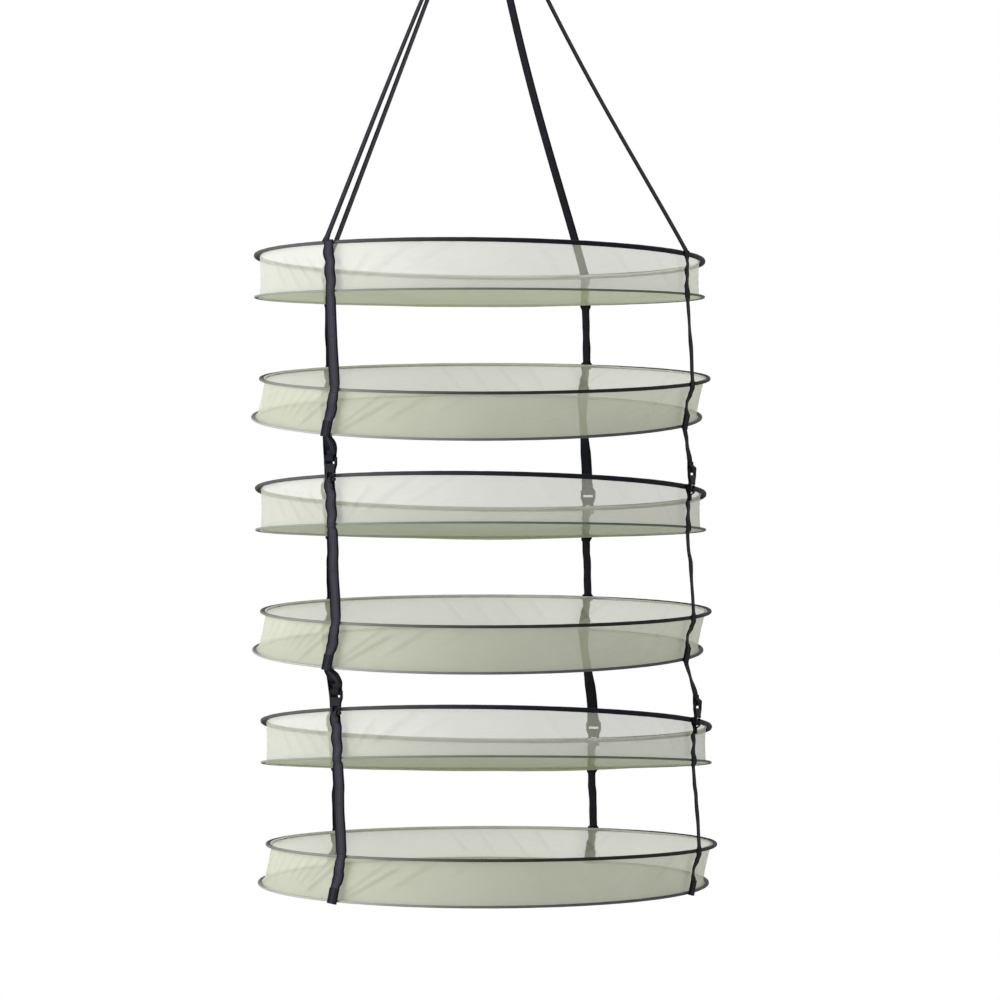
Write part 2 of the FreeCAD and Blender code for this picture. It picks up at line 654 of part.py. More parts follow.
for tray in LINKED_TRAYS:
    pair = f"{tray - 1}_{tray}"
    straps = [link_strap(corner, tray) for corner in CORNERS]
    place_soft(f"link_straps_{pair}", straps, hoop_place(tray - 1, "bottom").Base)
    clips = []
    for corner in CORNERS:
        copy = clip.Shape.copy()
        copy.Placement = clip_place(corner, tray)
        clips.append(copy)
        gate = doc.addObject("Part::Feature", f"clip_tongue_{pair}_{corner}")
        gate.Shape = tongue.Shape.copy()
        gate.Placement = clip_place(corner, tray).multiply(tongue.Placement)
        keep(gate, f"clip_tongue_{pair}_{corner}")
    place_soft(f"link_clips_{pair}", clips, hoop_place(tray, "top").Base)

doc.recompute()

# Every object has to be sound before any file is written.
faults = [item.Name for item in doc.Objects if {"Invalid", "Error"} & set(item.State)]
for item in subparts:
    if item.Shape.isNull() or not item.Shape.isValid() or not item.Shape.Solids:
        faults.append(item.Label)
if faults:
    raise RuntimeError("faulty objects: " + ", ".join(sorted(set(faults))))

os.makedirs("parts", exist_ok=True)
for item in subparts:
    item.Shape.exportStep(f"parts/{item.Label}.step")
print(len(subparts), "sub-parts written")
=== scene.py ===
import bpy
import numpy as np
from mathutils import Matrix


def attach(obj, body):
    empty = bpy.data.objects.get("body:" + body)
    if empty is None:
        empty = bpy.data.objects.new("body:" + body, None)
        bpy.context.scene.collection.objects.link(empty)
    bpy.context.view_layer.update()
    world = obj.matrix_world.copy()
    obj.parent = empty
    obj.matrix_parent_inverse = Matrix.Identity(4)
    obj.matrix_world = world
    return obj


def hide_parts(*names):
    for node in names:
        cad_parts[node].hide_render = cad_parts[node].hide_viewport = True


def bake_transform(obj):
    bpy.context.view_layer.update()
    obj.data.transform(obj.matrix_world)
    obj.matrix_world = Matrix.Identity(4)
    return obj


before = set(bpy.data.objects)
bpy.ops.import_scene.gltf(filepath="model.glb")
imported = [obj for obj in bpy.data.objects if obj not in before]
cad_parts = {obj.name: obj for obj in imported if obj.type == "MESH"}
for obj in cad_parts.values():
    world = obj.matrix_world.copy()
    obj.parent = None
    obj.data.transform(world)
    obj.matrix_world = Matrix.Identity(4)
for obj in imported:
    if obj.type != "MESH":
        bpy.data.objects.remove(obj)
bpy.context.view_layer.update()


# Hoop wires: twelve rings of round spring steel, 2.4 mm thick, each closed by a butt weld and shut
# inside its binding. They come from the coil with a bright drawn surface. Every other piece of a tray
# is placed from these rings.

TRAYS = (1, 2, 3, 4, 5, 6)
UPPER_TRAYS = (1, 3, 5)


def linear(colour):
    """An sRGB hex colour as linear RGB with an alpha of 1."""
    srgb = np.array([int(colour[i:i + 2], 16) for i in (1, 3, 5)]) / 255
    rgb = np.where(srgb <= 0.04045, srgb / 12.92, ((srgb + 0.055) / 1.055) ** 2.4)
    return (*rgb, 1)


def add(tree, kind, links=None, **settings):
    """Adds a shader node. links gives its inputs, each a number, an sRGB hex colour, an output of
    another node, or that node itself, which stands for its first output."""
    node = tree.nodes.new("ShaderNode" + kind)
    for name, setting in settings.items():
        setattr(node, name, setting)
    for name, given in (links or {}).items():
        if isinstance(given, bpy.types.Node):
            given = given.outputs[0]
        if isinstance(given, bpy.types.NodeSocket):
            tree.links.new(given, node.inputs[name])
        else:
            node.inputs[name].default_value = linear(given) if isinstance(given, str) else given
    return node


def new_material(name):
    """An empty material with its output node, and its node tree."""
    material = bpy.data.materials.new(name)
    material.use_nodes = True
    material.node_tree.nodes.clear()
    return material, material.node_tree


def drawn_steel():
    """Bright drawn wire: fine die lines run along it, so its gloss is uneven across them."""
    material, tree = new_material("drawn spring steel")
    place = add(tree, "TexCoord").outputs["Object"]
    lines = add(tree, "TexNoise", {"Vector": place, "Scale": 900, "Detail": 2})
    tone = add(tree, "MapRange", {"Value": lines, "To Min": 0.25, "To Max": 0.42})
    shade = add(tree, "MixRGB", {"Fac": lines, "Color1": "#8E9094", "Color2": "#B4B6B8"})
    bump = add(tree, "Bump", {"Height": lines, "Strength": 0.1, "Distance": 0.0002})
    surface = add(tree, "BsdfPrincipled", {
        "Base Color": shade, "Metallic": 1, "Roughness": tone, "Normal": bump})
    add(tree, "OutputMaterial", {"Surface": surface})
    return material


def wear(node, material):
    """Gives a CAD piece its material."""
    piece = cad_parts[node]
    piece.data.materials.clear()
    piece.data.materials.append(material)


def hoop(tray, side):
    """A hoop's centre, axis and wire radius, read from its wire.

    The centre is the middle of the wire's box, the axis is the direction in which its points vary
    least, and the radius is midway between the nearest and the furthest point.
    """
    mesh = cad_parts[f"tray_{tray}_{side}_wire"].data
    points = np.empty(len(mesh.vertices) * 3)
    mesh.vertices.foreach_get("co", points)
    points = points.reshape(-1, 3)
    centre = (points.min(0) + points.max(0)) / 2
    axis = np.linalg.svd(points - centre, full_matrices=False)[2][2]
    axis = axis * np.sign(axis[2])
    flat = (points - centre) - ((points - centre) @ axis)[:, None] * axis
    reach = np.linalg.norm(flat, axis=1)
    return centre, axis, (reach.min() + reach.max()) / 2


HOOPS = {(tray, side): hoop(tray, side) for tray in TRAYS for side in ("top", "bottom")}
steel = drawn_steel()
for tray, side in HOOPS:
    wear(f"tray_{tray}_{side}_wire", steel)


# Bindings: a woven polyester tape is folded over each wire and sewn shut along a flat seam inside it,
# which also holds the mesh. The mesh laps up over the inside of the tape, so a hoop looks paler from
# inside the tray. At the left the tape is drawn tight, so its bead is thinner, and it is painted paler
# there: painted light from the left.

# UNEVEN and STITCH_SHARE are shares, SHARP_ANGLE is in radians, and the others are in metres.
SEAM_EDGE = 0.295
SEAM_THICK = 0.0018
RIM_RADIUS = 0.305
PUCKER = 0.00012
UNEVEN = 0.04
SHARP_ANGLE = 0.9
RIB_SPACING = 0.0016
STITCH_PITCH = 0.004
STITCH_SHARE = 0.75
THREAD_HALF = 0.00028


def on_hoop(tray, side, angle, radius, rise=0.0):
    """Points at an angle from +X, a distance from the hoop's middle and a rise along its axis.

    The direction out is the one in the hoop's plane that lies over the level direction (cos, sin).
    """
    centre, axis, _ = HOOPS[tray, side]
    level = np.stack((np.cos(angle), np.sin(angle), np.zeros_like(angle)), -1)
    out = level - (level @ axis / axis[2])[..., None] * np.array((0, 0, 1))
    out /= np.linalg.norm(out, axis=-1, keepdims=True)
    return centre + np.asarray(radius)[..., None] * out + np.asarray(rise)[..., None] * axis


def wander(place, counts, seed):
    """A smooth wander between -1 and 1: the mean of sine waves, each with a phase of its own."""
    phases = np.random.default_rng(seed).uniform(0, 2 * np.pi, len(counts))
    return sum(np.sin(count * place + phase) for count, phase in zip(counts, phases)) / len(counts)


def lay(name, grid, uv, material, around=False, along=False, capped=False):
    """Mesh of a grid of points, each joined to its neighbours, with a UV map in metres.

    around and along say that the last column and the last row repeat the first, so the surface closes
    there, and capped closes the first and the last row with a flat face. A surface that encloses a
    volume is turned so that the volume, summed over its faces, is positive.
    """
    rows, columns = grid.shape[0] - along, grid.shape[1] - around
    points = grid[:rows, :columns].reshape(-1, 3)
    number = np.arange(rows * columns).reshape(rows, columns)
    number = number[np.ix_(np.arange(grid.shape[0]) % rows, np.arange(grid.shape[1]) % columns)]
    corners = ((slice(None, -1), slice(None, -1)), (slice(1, None), slice(None, -1)),
               (slice(1, None), slice(1, None)), (slice(None, -1), slice(1, None)))
    quads = np.stack([number[c] for c in corners], -1).reshape(-1, 4)
    quad_uv = np.stack([uv[c] for c in corners], -2).reshape(-1, 4, 2)
    a, b, c, d = (points[quads[:, i]] for i in range(4))
    volume = (np.cross(b, c) * a).sum() + (np.cross(c, d) * a).sum()
    if (around and (along or capped)) and volume < 0:
        quads, quad_uv = quads[:, ::-1], quad_uv[:, ::-1]
    loops, loop_uv, sizes = [quads.ravel()], [quad_uv.reshape(-1, 2)], [np.full(len(quads), 4)]
    if capped:
        for row, turn in ((0, 1), (-1, -1)):
            turn = turn if volume < 0 else -turn
            loops.append(number[row, :columns][::turn])
            loop_uv.append(uv[row, :columns][::turn])
            sizes.append(np.array([columns]))
    loops, loop_uv, sizes = (np.concatenate(part) for part in (loops, loop_uv, sizes))
    mesh = bpy.data.meshes.new(name)
    mesh.vertices.add(len(points))
    mesh.vertices.foreach_set("co", points.astype(np.float32).ravel())
    mesh.loops.add(len(loops))
    mesh.loops.foreach_set("vertex_index", loops.astype(np.int32))
    mesh.polygons.add(len(sizes))
    mesh.polygons.foreach_set("loop_start", (np.cumsum(sizes) - sizes).astype(np.int32))
    mesh.polygons.foreach_set("use_smooth", np.ones(len(sizes), bool))
    mesh.uv_layers.new(name="cloth").uv.foreach_set("vector", loop_uv.astype(np.float32).ravel())
    mesh.update(calc_edges=True)
    mesh.set_sharp_from_angle(angle=SHARP_ANGLE)
    mesh.materials.append(material)
    piece = bpy.data.objects.new(name, mesh)
    bpy.context.scene.collection.objects.link(piece)
    return piece


def arc_length(points):
    """Distance along a line of points, from its first point."""
    steps = np.linalg.norm(np.diff(points, axis=0), axis=1)
    return np.concatenate(((0,), np.cumsum(steps)))


def binding_section(bead):
    """Half section of a binding about its wire: (out, up) points and the distance from the rim.

    The bead is an arc over the wire. It meets the seam, a straight run in to the seam's rounded edge.
    The other half is its mirror image.
    """
    half = SEAM_THICK / 2
    turn = np.linspace(0, np.pi - np.arcsin(half / bead), 9)
    over = np.stack((bead * np.cos(turn), bead * np.sin(turn)), -1)
    edge = SEAM_EDGE - (RIM_RADIUS - bead)
    run = np.linspace(over[-1, 0], edge + half * 0.4, 5)[1:]
    seam = np.stack((run, np.full(4, half)), -1)
    tip = np.array(((edge + half * 0.1, half * 0.8), (edge, half * 0.4)))
    points = np.concatenate((over, seam, tip))
    return points, arc_length(points)


def binding_tape(name, face, rib_light, lap_from, stitch_at):
    """Polyester tape: fine ribs run across it, and its thread lies in short stitches along the seam.

    The ribs are 0.7 mm apart on the real tape and are drawn at 1.6 mm, so that they show. lap_from and
    stitch_at are the distances from the rim at which the lapped mesh starts and the stitches lie.
    """
    material, tree = new_material(name)
    uv = add(tree, "SeparateXYZ", {"Vector": add(tree, "UVMap", uv_map="cloth")})
    along, across = uv.outputs["X"], uv.outputs["Y"]
    inward = add(tree, "Math", {0: across}, operation="ABSOLUTE")
    turns = add(tree, "Math", {0: along, 1: 2 * np.pi / RIB_SPACING}, operation="MULTIPLY")
    rib = add(tree, "Math", {0: turns}, operation="SINE")
    place = add(tree, "TexCoord").outputs["Object"]
    fade = add(tree, "TexNoise", {"Vector": place, "Scale": 45, "Detail": 3})
    ribbed = add(tree, "MapRange", {"Value": rib, "From Min": -1, "From Max": 1})
    tone = add(tree, "Math", {0: ribbed, 1: fade}, operation="MULTIPLY")
    cloth = add(tree, "MixRGB", {"Fac": tone, "Color1": face, "Color2": rib_light})
    # Painted light: the attribute "drawn" mixes the tape towards pale #A6A9A2 at a hoop's left.
    drawn = add(tree, "Attribute", attribute_name="drawn").outputs["Fac"]
    cloth = add(tree, "MixRGB", {"Fac": drawn, "Color1": cloth, "Color2": "#A6A9A2"})
    # The lapped mesh: tape seen through a doubled edge of cream netting.
    lapped = add(tree, "MapRange", {"Value": inward, "From Min": lap_from,
                                    "From Max": lap_from + 0.0006})
    netted = add(tree, "MixRGB", {"Fac": fade, "Color1": "#BDBFB5", "Color2": "#E2E4DA"})
    shade = add(tree, "MixRGB", {"Fac": lapped, "Color1": cloth, "Color2": netted})
    # Lock stitches 3 mm long with gaps of 1 mm, 0.5 mm wide, in a row above and a row below.
    pitches = add(tree, "Math", {0: along, 1: STITCH_PITCH}, operation="DIVIDE")
    dash = add(tree, "Math", {0: pitches}, operation="FRACT")
    dashed = add(tree, "Math", {0: dash, 1: STITCH_SHARE}, operation="LESS_THAN")
    from_row = add(tree, "Math", {0: inward, 1: stitch_at}, operation="SUBTRACT")
    from_row = add(tree, "Math", {0: from_row}, operation="ABSOLUTE")
    in_row = add(tree, "Math", {0: from_row, 1: THREAD_HALF}, operation="LESS_THAN")
    stitch = add(tree, "Math", {0: dashed, 1: in_row}, operation="MULTIPLY")
    sewn = add(tree, "MixRGB", {"Fac": stitch, "Color1": shade, "Color2": "#4A4F52"})
    height = add(tree, "Math", {0: ribbed, 1: stitch}, operation="ADD")
    bump = add(tree, "Bump", {"Height": height, "Strength": 0.35, "Distance": 0.0003})
    rough = add(tree, "MapRange", {"Value": fade, "To Min": 0.62, "To Max": 0.85})
    surface = add(tree, "BsdfPrincipled", {
        "Base Color": sewn, "Roughness": rough, "IOR": 1.5,
        "Specular IOR Level": 0.12, "Sheen Weight": 0.04, "Normal": bump})
    add(tree, "OutputMaterial", {"Surface": surface})
    return material


# Where round a hoop and how far to each side, in degrees, the tape is tight, it carries painted light,
# it is full, and the mesh is lapped least.
TIGHT, PAINTED_LIGHT_AT, FULL = (205, 50), (218, 38), (325, 40)
LEAST_LAP = ((15, 50), (183, 24))

# Size of the bead beside its CAD size, how much less it is where tight and more where full, and how
# strong its painted light is, from 0 to 1.
FULLNESS = {(True, "top"): (1.16, 0.32, 0.1, 0.17), (True, "bottom"): (0.74, 0.08, 0, 0.45),
            (False, "top"): (1.02, 0.16, 0.2, 0.5), (False, "bottom"): (0.88, 0.16, 0.1, 0.9)}


def bell(angle, place):
    """A smooth bump of height 1 round a hoop, as a column: e to the minus square of the angle from its
    place over its spread."""
    at, spread = np.radians(place)
    return np.exp(-(((angle - at + np.pi) % (2 * np.pi) - np.pi) / spread) ** 2)[:, None]


def binding(tray, side, material):
    """The binding's section carried round the hoop, with small puckers between its stitches.

    The section's height is multiplied by the swell. So is its way out from the wire, but only where the
    swell is under 1, as the webbing presses on the tape's outside. Its way in stays as it is.
    """
    bead = RIM_RADIUS - HOOPS[tray, side][2]
    half, reach = binding_section(bead)
    section = np.concatenate((half[::-1], half[1:] * (1, -1), half[-1:]))
    across = np.concatenate((-reach[::-1], reach[1:], (reach[-1] + 0.0004,)))
    angle = np.linspace(0, 2 * np.pi, 541)
    seed = 10 * tray + (side == "top")
    pucker = wander(angle, (61, 97, 139, 173), seed)[:, None]
    full, less, more, painted_light = FULLNESS[tray in UPPER_TRAYS, side]
    swell = full - less * bell(angle, TIGHT) + more * bell(angle, FULL)
    swell = swell + UNEVEN * wander(angle, (23, 47, 83), seed + 100)[:, None]
    inner = np.clip(-section[:, 0] / bead, 0, 3)
    radius = HOOPS[tray, side][2] + section[:, 0] * np.where(section[:, 0] > 0, np.minimum(swell, 1), 1)
    rise = section[:, 1] * swell + PUCKER * pucker * inner
    grid = on_hoop(tray, side, angle[:, None] + np.zeros(len(section)), radius, rise)
    cover = 1 - 0.6 * sum(bell(angle, place) for place in LEAST_LAP)
    uv = np.stack(np.broadcast_arrays(angle[:, None] * RIM_RADIUS, across * cover), -1)
    piece = lay(f"tape_{tray}_{side}", grid, uv, material, around=True, along=True)
    # The attribute "drawn" holds the painted light, strongest at the left of the hoop.
    column = piece.data.attributes.new("drawn", "FLOAT", "POINT")
    drawn = np.broadcast_to(painted_light * bell(angle, PAINTED_LIGHT_AT), grid.shape[:2])[:-1, :-1]
    column.data.foreach_set("value", drawn.astype(np.float32).ravel())
    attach(piece, f"tray_{tray}_{side}")
    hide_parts(f"tray_{tray}_{side}_binding")


TAPES = {
    (True, "top"): binding_tape("navy polyester tape", "#080B13", "#1A2030", 0.0042, 0.0100),
    (True, "bottom"): binding_tape("green-grey polyester tape", "#5C6659", "#7C8674", 0.0032, 0.0088),
    (False, "top"): binding_tape("black polyester tape", "#14181A", "#343A3B", 0.0032, 0.0088),
    (False, "bottom"): binding_tape("slate polyester tape", "#4E5351", "#6E746E", 0.0032, 0.0088)}
for tray, side in HOOPS:
    binding(tray, side, TAPES[tray in UPPER_TRAYS, side])


# Mesh walls: one strip of cream knitted polyester netting to a tray, 52 mm high, joined into a ring
# and sewn between the two bindings. The netting is semi-transparent and creases where a strap pulls
# the tray out of line. On the lower tray of each pair it stops more light and is a little more olive:
# painted shade from the tray above.

WALL_RADIUS = 0.2966
WALL_INSET = 0.0006
WALL_PULL = 0.0010
WALL_RIPPLE = 0.0004
GRAIN = (0.0044, 0.0026)
# Height in millimetres of a crease beside which its painted shade would be full.
CREASE_DARK = 12


def netting(name, cream, olive, cover):
    """Knitted netting: a fine bias grain, drawn 4.4 mm apart one way and 2.6 mm the other instead of
    1 mm, so that it shows. Beside a crease it is darker: painted shade on one flank, which also stands
    for the netting looking closer where it tilts.

    cover is the share of a look that its yarn stops, which stands for its holes. The yarn is pale and
    thin, so it also glows with the light behind it.
    """
    material, tree = new_material(name)
    uv = add(tree, "SeparateXYZ", {"Vector": add(tree, "UVMap", uv_map="cloth")})
    slant, cross = (add(tree, "Math", {0: uv.outputs["X"], 1: uv.outputs["Y"]}, operation=operation)
                    for operation in ("ADD", "SUBTRACT"))
    turns = [add(tree, "Math", {0: way, 1: 2 * np.pi / period}, operation="MULTIPLY")
             for way, period in zip((slant, cross), GRAIN)]
    grain = [add(tree, "Math", {0: turn}, operation="SINE") for turn in turns]
    woven = add(tree, "Math", {0: grain[0], 1: 0.25, 2: grain[1]}, operation="MULTIPLY_ADD")
    place = add(tree, "TexCoord").outputs["Object"]
    cloud = add(tree, "TexNoise", {"Vector": place, "Scale": 9, "Detail": 4, "Roughness": 0.6})
    tone = add(tree, "Math", {0: grain[0], 1: 0.12, 2: cloud}, operation="MULTIPLY_ADD")
    shade = add(tree, "MixRGB", {"Fac": tone, "Color1": cream, "Color2": olive})
    # Painted shade on one flank of each crease, mixed towards #6E7160.
    crease_shade = add(tree, "Attribute", attribute_name="crease").outputs["Fac"]
    creased = add(tree, "MixRGB", {"Fac": crease_shade, "Color1": shade, "Color2": "#6E7160"})
    bump = add(tree, "Bump", {"Height": woven, "Strength": 0.25, "Distance": 0.0004})
    surface = add(tree, "BsdfPrincipled", {
        "Base Color": creased, "Roughness": 0.8, "IOR": 1.5,
        "Specular IOR Level": 0.15, "Normal": bump})
    glow = add(tree, "BsdfTranslucent", {"Color": creased, "Normal": bump})
    yarn = add(tree, "MixShader", {0: 0.38, 1: surface, 2: glow})
    holes = add(tree, "BsdfTransparent")
    knit = add(tree, "MixShader", {0: cover, 1: holes, 2: yarn})
    add(tree, "OutputMaterial", {"Surface": knit})
    return material


def crease(angle, down, at, slope, start, end, width):
    """A soft ridge on a wall: a bell-shaped height across a slanting line, faded at the line's ends.

    at is the angle of the line at the top hoop and slope is how far it has run round at the bottom,
    both in degrees. start and end are shares of the way down, and width is half the ridge's, in
    degrees. The bell is e to the minus square of the angle off the line over that width.
    """
    line = np.radians(at) + np.radians(slope) * down
    off = (angle - line + np.pi) % (2 * np.pi) - np.pi
    ends = np.clip((down - start) / 0.12 + 0.4, 0, 1) * np.clip((end - down) / 0.2, 0, 1)
    return np.exp(-(off / np.radians(width)) ** 2) * ends


# Creases: at, slope, start, end and width, as above, and the height in millimetres. Most fan out from
# a strap.
UPPER_CREASES = (
    (251.7, -19, 0.05, 0.85, 1.6, 1.5), (263, -22, 0, 0.7, 1.2, 0.9), (241, -10, 0.2, 1, 0.9, 1.2),
    (226, 9, 0, 0.8, 0.8, 1.3), (219, 12, 0.3, 1, 0.6, 1.1), (214, 13, 0.3, 1, 0.6, 1.2),
    (209, 13, 0.25, 1, 0.6, 1.1), (204, 12, 0.2, 1, 0.6, 1.1), (198, 11, 0.2, 0.9, 0.7, 1),
    (284, 9, 0.1, 0.8, 1.4, 0.6),
    (305, 12, 0, 0.8, 1.3, 0.8), (321, 9, 0, 0.9, 1.1, 1.1), (333, 5, 0, 1, 0.7, 1.2),
    (341, -6, 0, 1, 0.7, 1.2), (348, 6, 0.1, 0.9, 0.6, 0.9), (355, -5, 0, 1, 0.6, 0.8),
    (12, 7, 0, 0.9, 0.9, 0.9), (33, -8, 0.1, 1, 1, 0.9), (54, 10, 0, 0.9, 0.9, 1.3),
    (70, -10, 0, 0.9, 0.9, 1.3), (88, 9, 0.1, 0.9, 1.2, 0.8), (110, -9, 0, 0.8, 1.2, 0.8),
    (125, 9, 0, 0.9, 0.9, 1.3), (140, -9, 0, 0.9, 0.9, 1.3), (165, 8, 0.1, 1, 0.9, 0.8))
LOWER_CREASES = (
    (248.5, -19, 0.2, 1.05, 1, 2.4), (243, -16, 0, 0.9, 0.8, 1.6), (255, -17, 0.05, 0.75, 1.3, 1.4),
    (265, -16, 0, 0.5, 1.4, 0.8), (228, -14, 0.05, 1, 0.9, 2.4), (224, -12, 0, 0.7, 0.6, 1.6),
    (220, -11, 0, 0.8, 0.6, 1.5), (216, -10, 0, 0.7, 0.6, 1.4), (212, -9, 0, 0.7, 0.6, 1.3),
    (207.5, -9, 0, 0.6, 0.6, 1.2), (202, -8, 0.1, 0.8, 0.7, 1.0), (197, -7, 0, 0.7, 0.6, 0.9),
    (290, 9, 0.1, 0.9, 1.8, 0.35), (312, -10, 0, 0.9, 1.6, 0.4), (326, -9, 0, 1, 0.9, 1.3),
    (337, 10, 0, 0.9, 0.9, 1.3), (346, 8, 0.1, 1, 0.7, 1), (354, -6, 0, 0.9, 0.6, 0.8),
    (101, -9, 0.05, 0.9, 0.7, 1.5), (93.5, -8, 0, 0.95, 0.6, 1.2), (86, -9, 0.1, 1, 0.6, 1.4),
    (78, -8, 0, 0.8, 0.7, 1.2), (66, -10, 0, 0.9, 0.8, 1.2), (54, 11, 0, 1, 0.9, 1.3),
    (30, 8, 0.1, 0.9, 1, 0.9), (12, -8, 0, 0.9, 0.9, 0.8), (126, 12, 0, 1, 0.9, 1.3),
    (141, -10, 0, 0.9, 0.9, 1.2), (162, 8, 0, 0.9, 0.9, 0.8), (183, 9, 0, 0.9, 0.9, 0.9))


def wall(tray, material):
    """A ring of netting between the two seams: a straight line down at each angle, drawn in a little
    at mid height by the pull of the cloth, with the creases and a small ripple laid over it. Beside
    each crease the attribute "crease" holds the painted shade for one of its flanks."""
    angle = np.linspace(0, 2 * np.pi, 901)[:, None]
    down = np.linspace(0, 1, 25)
    top = on_hoop(tray, "top", angle, WALL_RADIUS, -WALL_INSET)
    foot = on_hoop(tray, "bottom", angle, WALL_RADIUS, WALL_INSET)
    free = np.sin(np.pi * down)
    rise = -WALL_PULL * free + WALL_RIPPLE * wander(angle + 0.8 * down, (37, 53, 71, 113), tray) * free
    crease_shade = np.zeros_like(rise)
    creases = UPPER_CREASES if tray in UPPER_TRAYS else LOWER_CREASES
    for at, slope, start, end, width, height in creases:
        rise = rise + height / 1000 * crease(angle, down, at, slope, start, end, width) * free ** 0.5
        # Painted shade: a band one width round from each crease's line.
        crease_shade = crease_shade + height / CREASE_DARK * crease(
            angle, down, at + width, slope, start, end, width)
    out = np.concatenate((np.cos(angle), np.sin(angle), 0 * angle), 1)[:, None, :]
    grid = top + (foot - top) * down[None, :, None] + out * rise[:, :, None]
    height = np.linalg.norm(foot - top, axis=-1)
    uv = np.stack(np.broadcast_arrays(angle * WALL_RADIUS, -down * height), -1)
    piece = lay(f"netting_wall_{tray}", grid, uv, material, along=True)
    column = piece.data.attributes.new("crease", "FLOAT", "POINT")
    column.data.foreach_set("value", np.clip(crease_shade[:-1], 0, 0.5).astype(np.float32).ravel())
    (high, up, _), (low, other_up, _) = HOOPS[tray, "top"], HOOPS[tray, "bottom"]
    axis = (up + other_up) / np.linalg.norm(up + other_up)
    end = high - axis * ((high - low) @ axis - 0.004)
    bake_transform(piece)
    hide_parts(f"tray_{tray}_wall")


open_netting = netting("cream knitted netting", "#D6D7CC", "#C4C6B8", 0.57)
# Painted shade: the lower trays' netting stops more light and is more olive, for the tray above's
# shade.
shaded_netting = netting("olive-cream knitted netting", "#DADBCB", "#C3C5B0", 0.64)
for tray in TRAYS:
    wall(tray, open_netting if tray in UPPER_TRAYS else shaded_netting)


# Mesh floors: a disc of the same yarn knitted closer, sewn into the bottom binding. It sags about a
# centimetre under its own weight and folds a little where it meets the seam.

FLOOR_SAG = 0.0105
FLOOR_FOLD = 0.0012
FLOOR_WAVE = 0.0010
FLOOR_INSET = 0.0002


def floor(tray, material):
    """A square grid pressed into a disc, so that the netting's threads run straight across it.

    It hangs in a parabola, the sag times one less the square of the distance out. Shallow folds fade
    towards the middle, and slow waves fade towards the seam.
    """
    side = np.linspace(-1, 1, 121)
    s, t = np.meshgrid(side, side, indexing="ij")
    x, y = s * np.sqrt(1 - t * t / 2), t * np.sqrt(1 - s * s / 2)
    reach, angle = np.hypot(x, y), np.arctan2(y, x)
    fold = wander(angle, (9, 14, 23, 37), 50 + tray) * reach ** 3 * (1 - reach ** 8)
    sweep = wander(3.1 * x + 1.7 * y, (1.3, 2.1, 3.7), 70 + tray) * (1 - reach ** 2)
    radius = WALL_RADIUS * reach
    rise = -FLOOR_SAG * (1 - reach ** 2) + FLOOR_FOLD * fold + FLOOR_WAVE * sweep - FLOOR_INSET
    grid = on_hoop(tray, "bottom", angle, radius, rise)
    uv = np.stack((x, y), -1) * WALL_RADIUS
    piece = lay(f"netting_floor_{tray}", grid, uv, material)
    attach(piece, f"tray_{tray}_bottom")
    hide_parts(f"tray_{tray}_floor")


floor_netting = netting("close knitted netting", "#ADB592", "#959F7A", 0.7)
for tray in TRAYS:
    floor(tray, floor_netting)


# Webbing along the walls: four straps of 16 mm polyester webbing, sewn flat to every hoop. Between a
# tray's two hoops they are a little too long, so they buckle. On the lower tray of a pair a second
# ply is sewn over the foot of each.

STRAP_ANGLES = {"front_left": 229.5, "front_right": 336.5, "back_right": 62, "back_left": 132}
STRAP_WIDTH = 0.016
STRAP_THICK = 0.0014
STRAP_RADIUS = 0.306
STRAP_LIP = 0.0035
LAP_GAP = 0.0001
INNER_FACE = 0.05
WEAVE_ROW = 0.002
STITCH_ROW = 0.0025


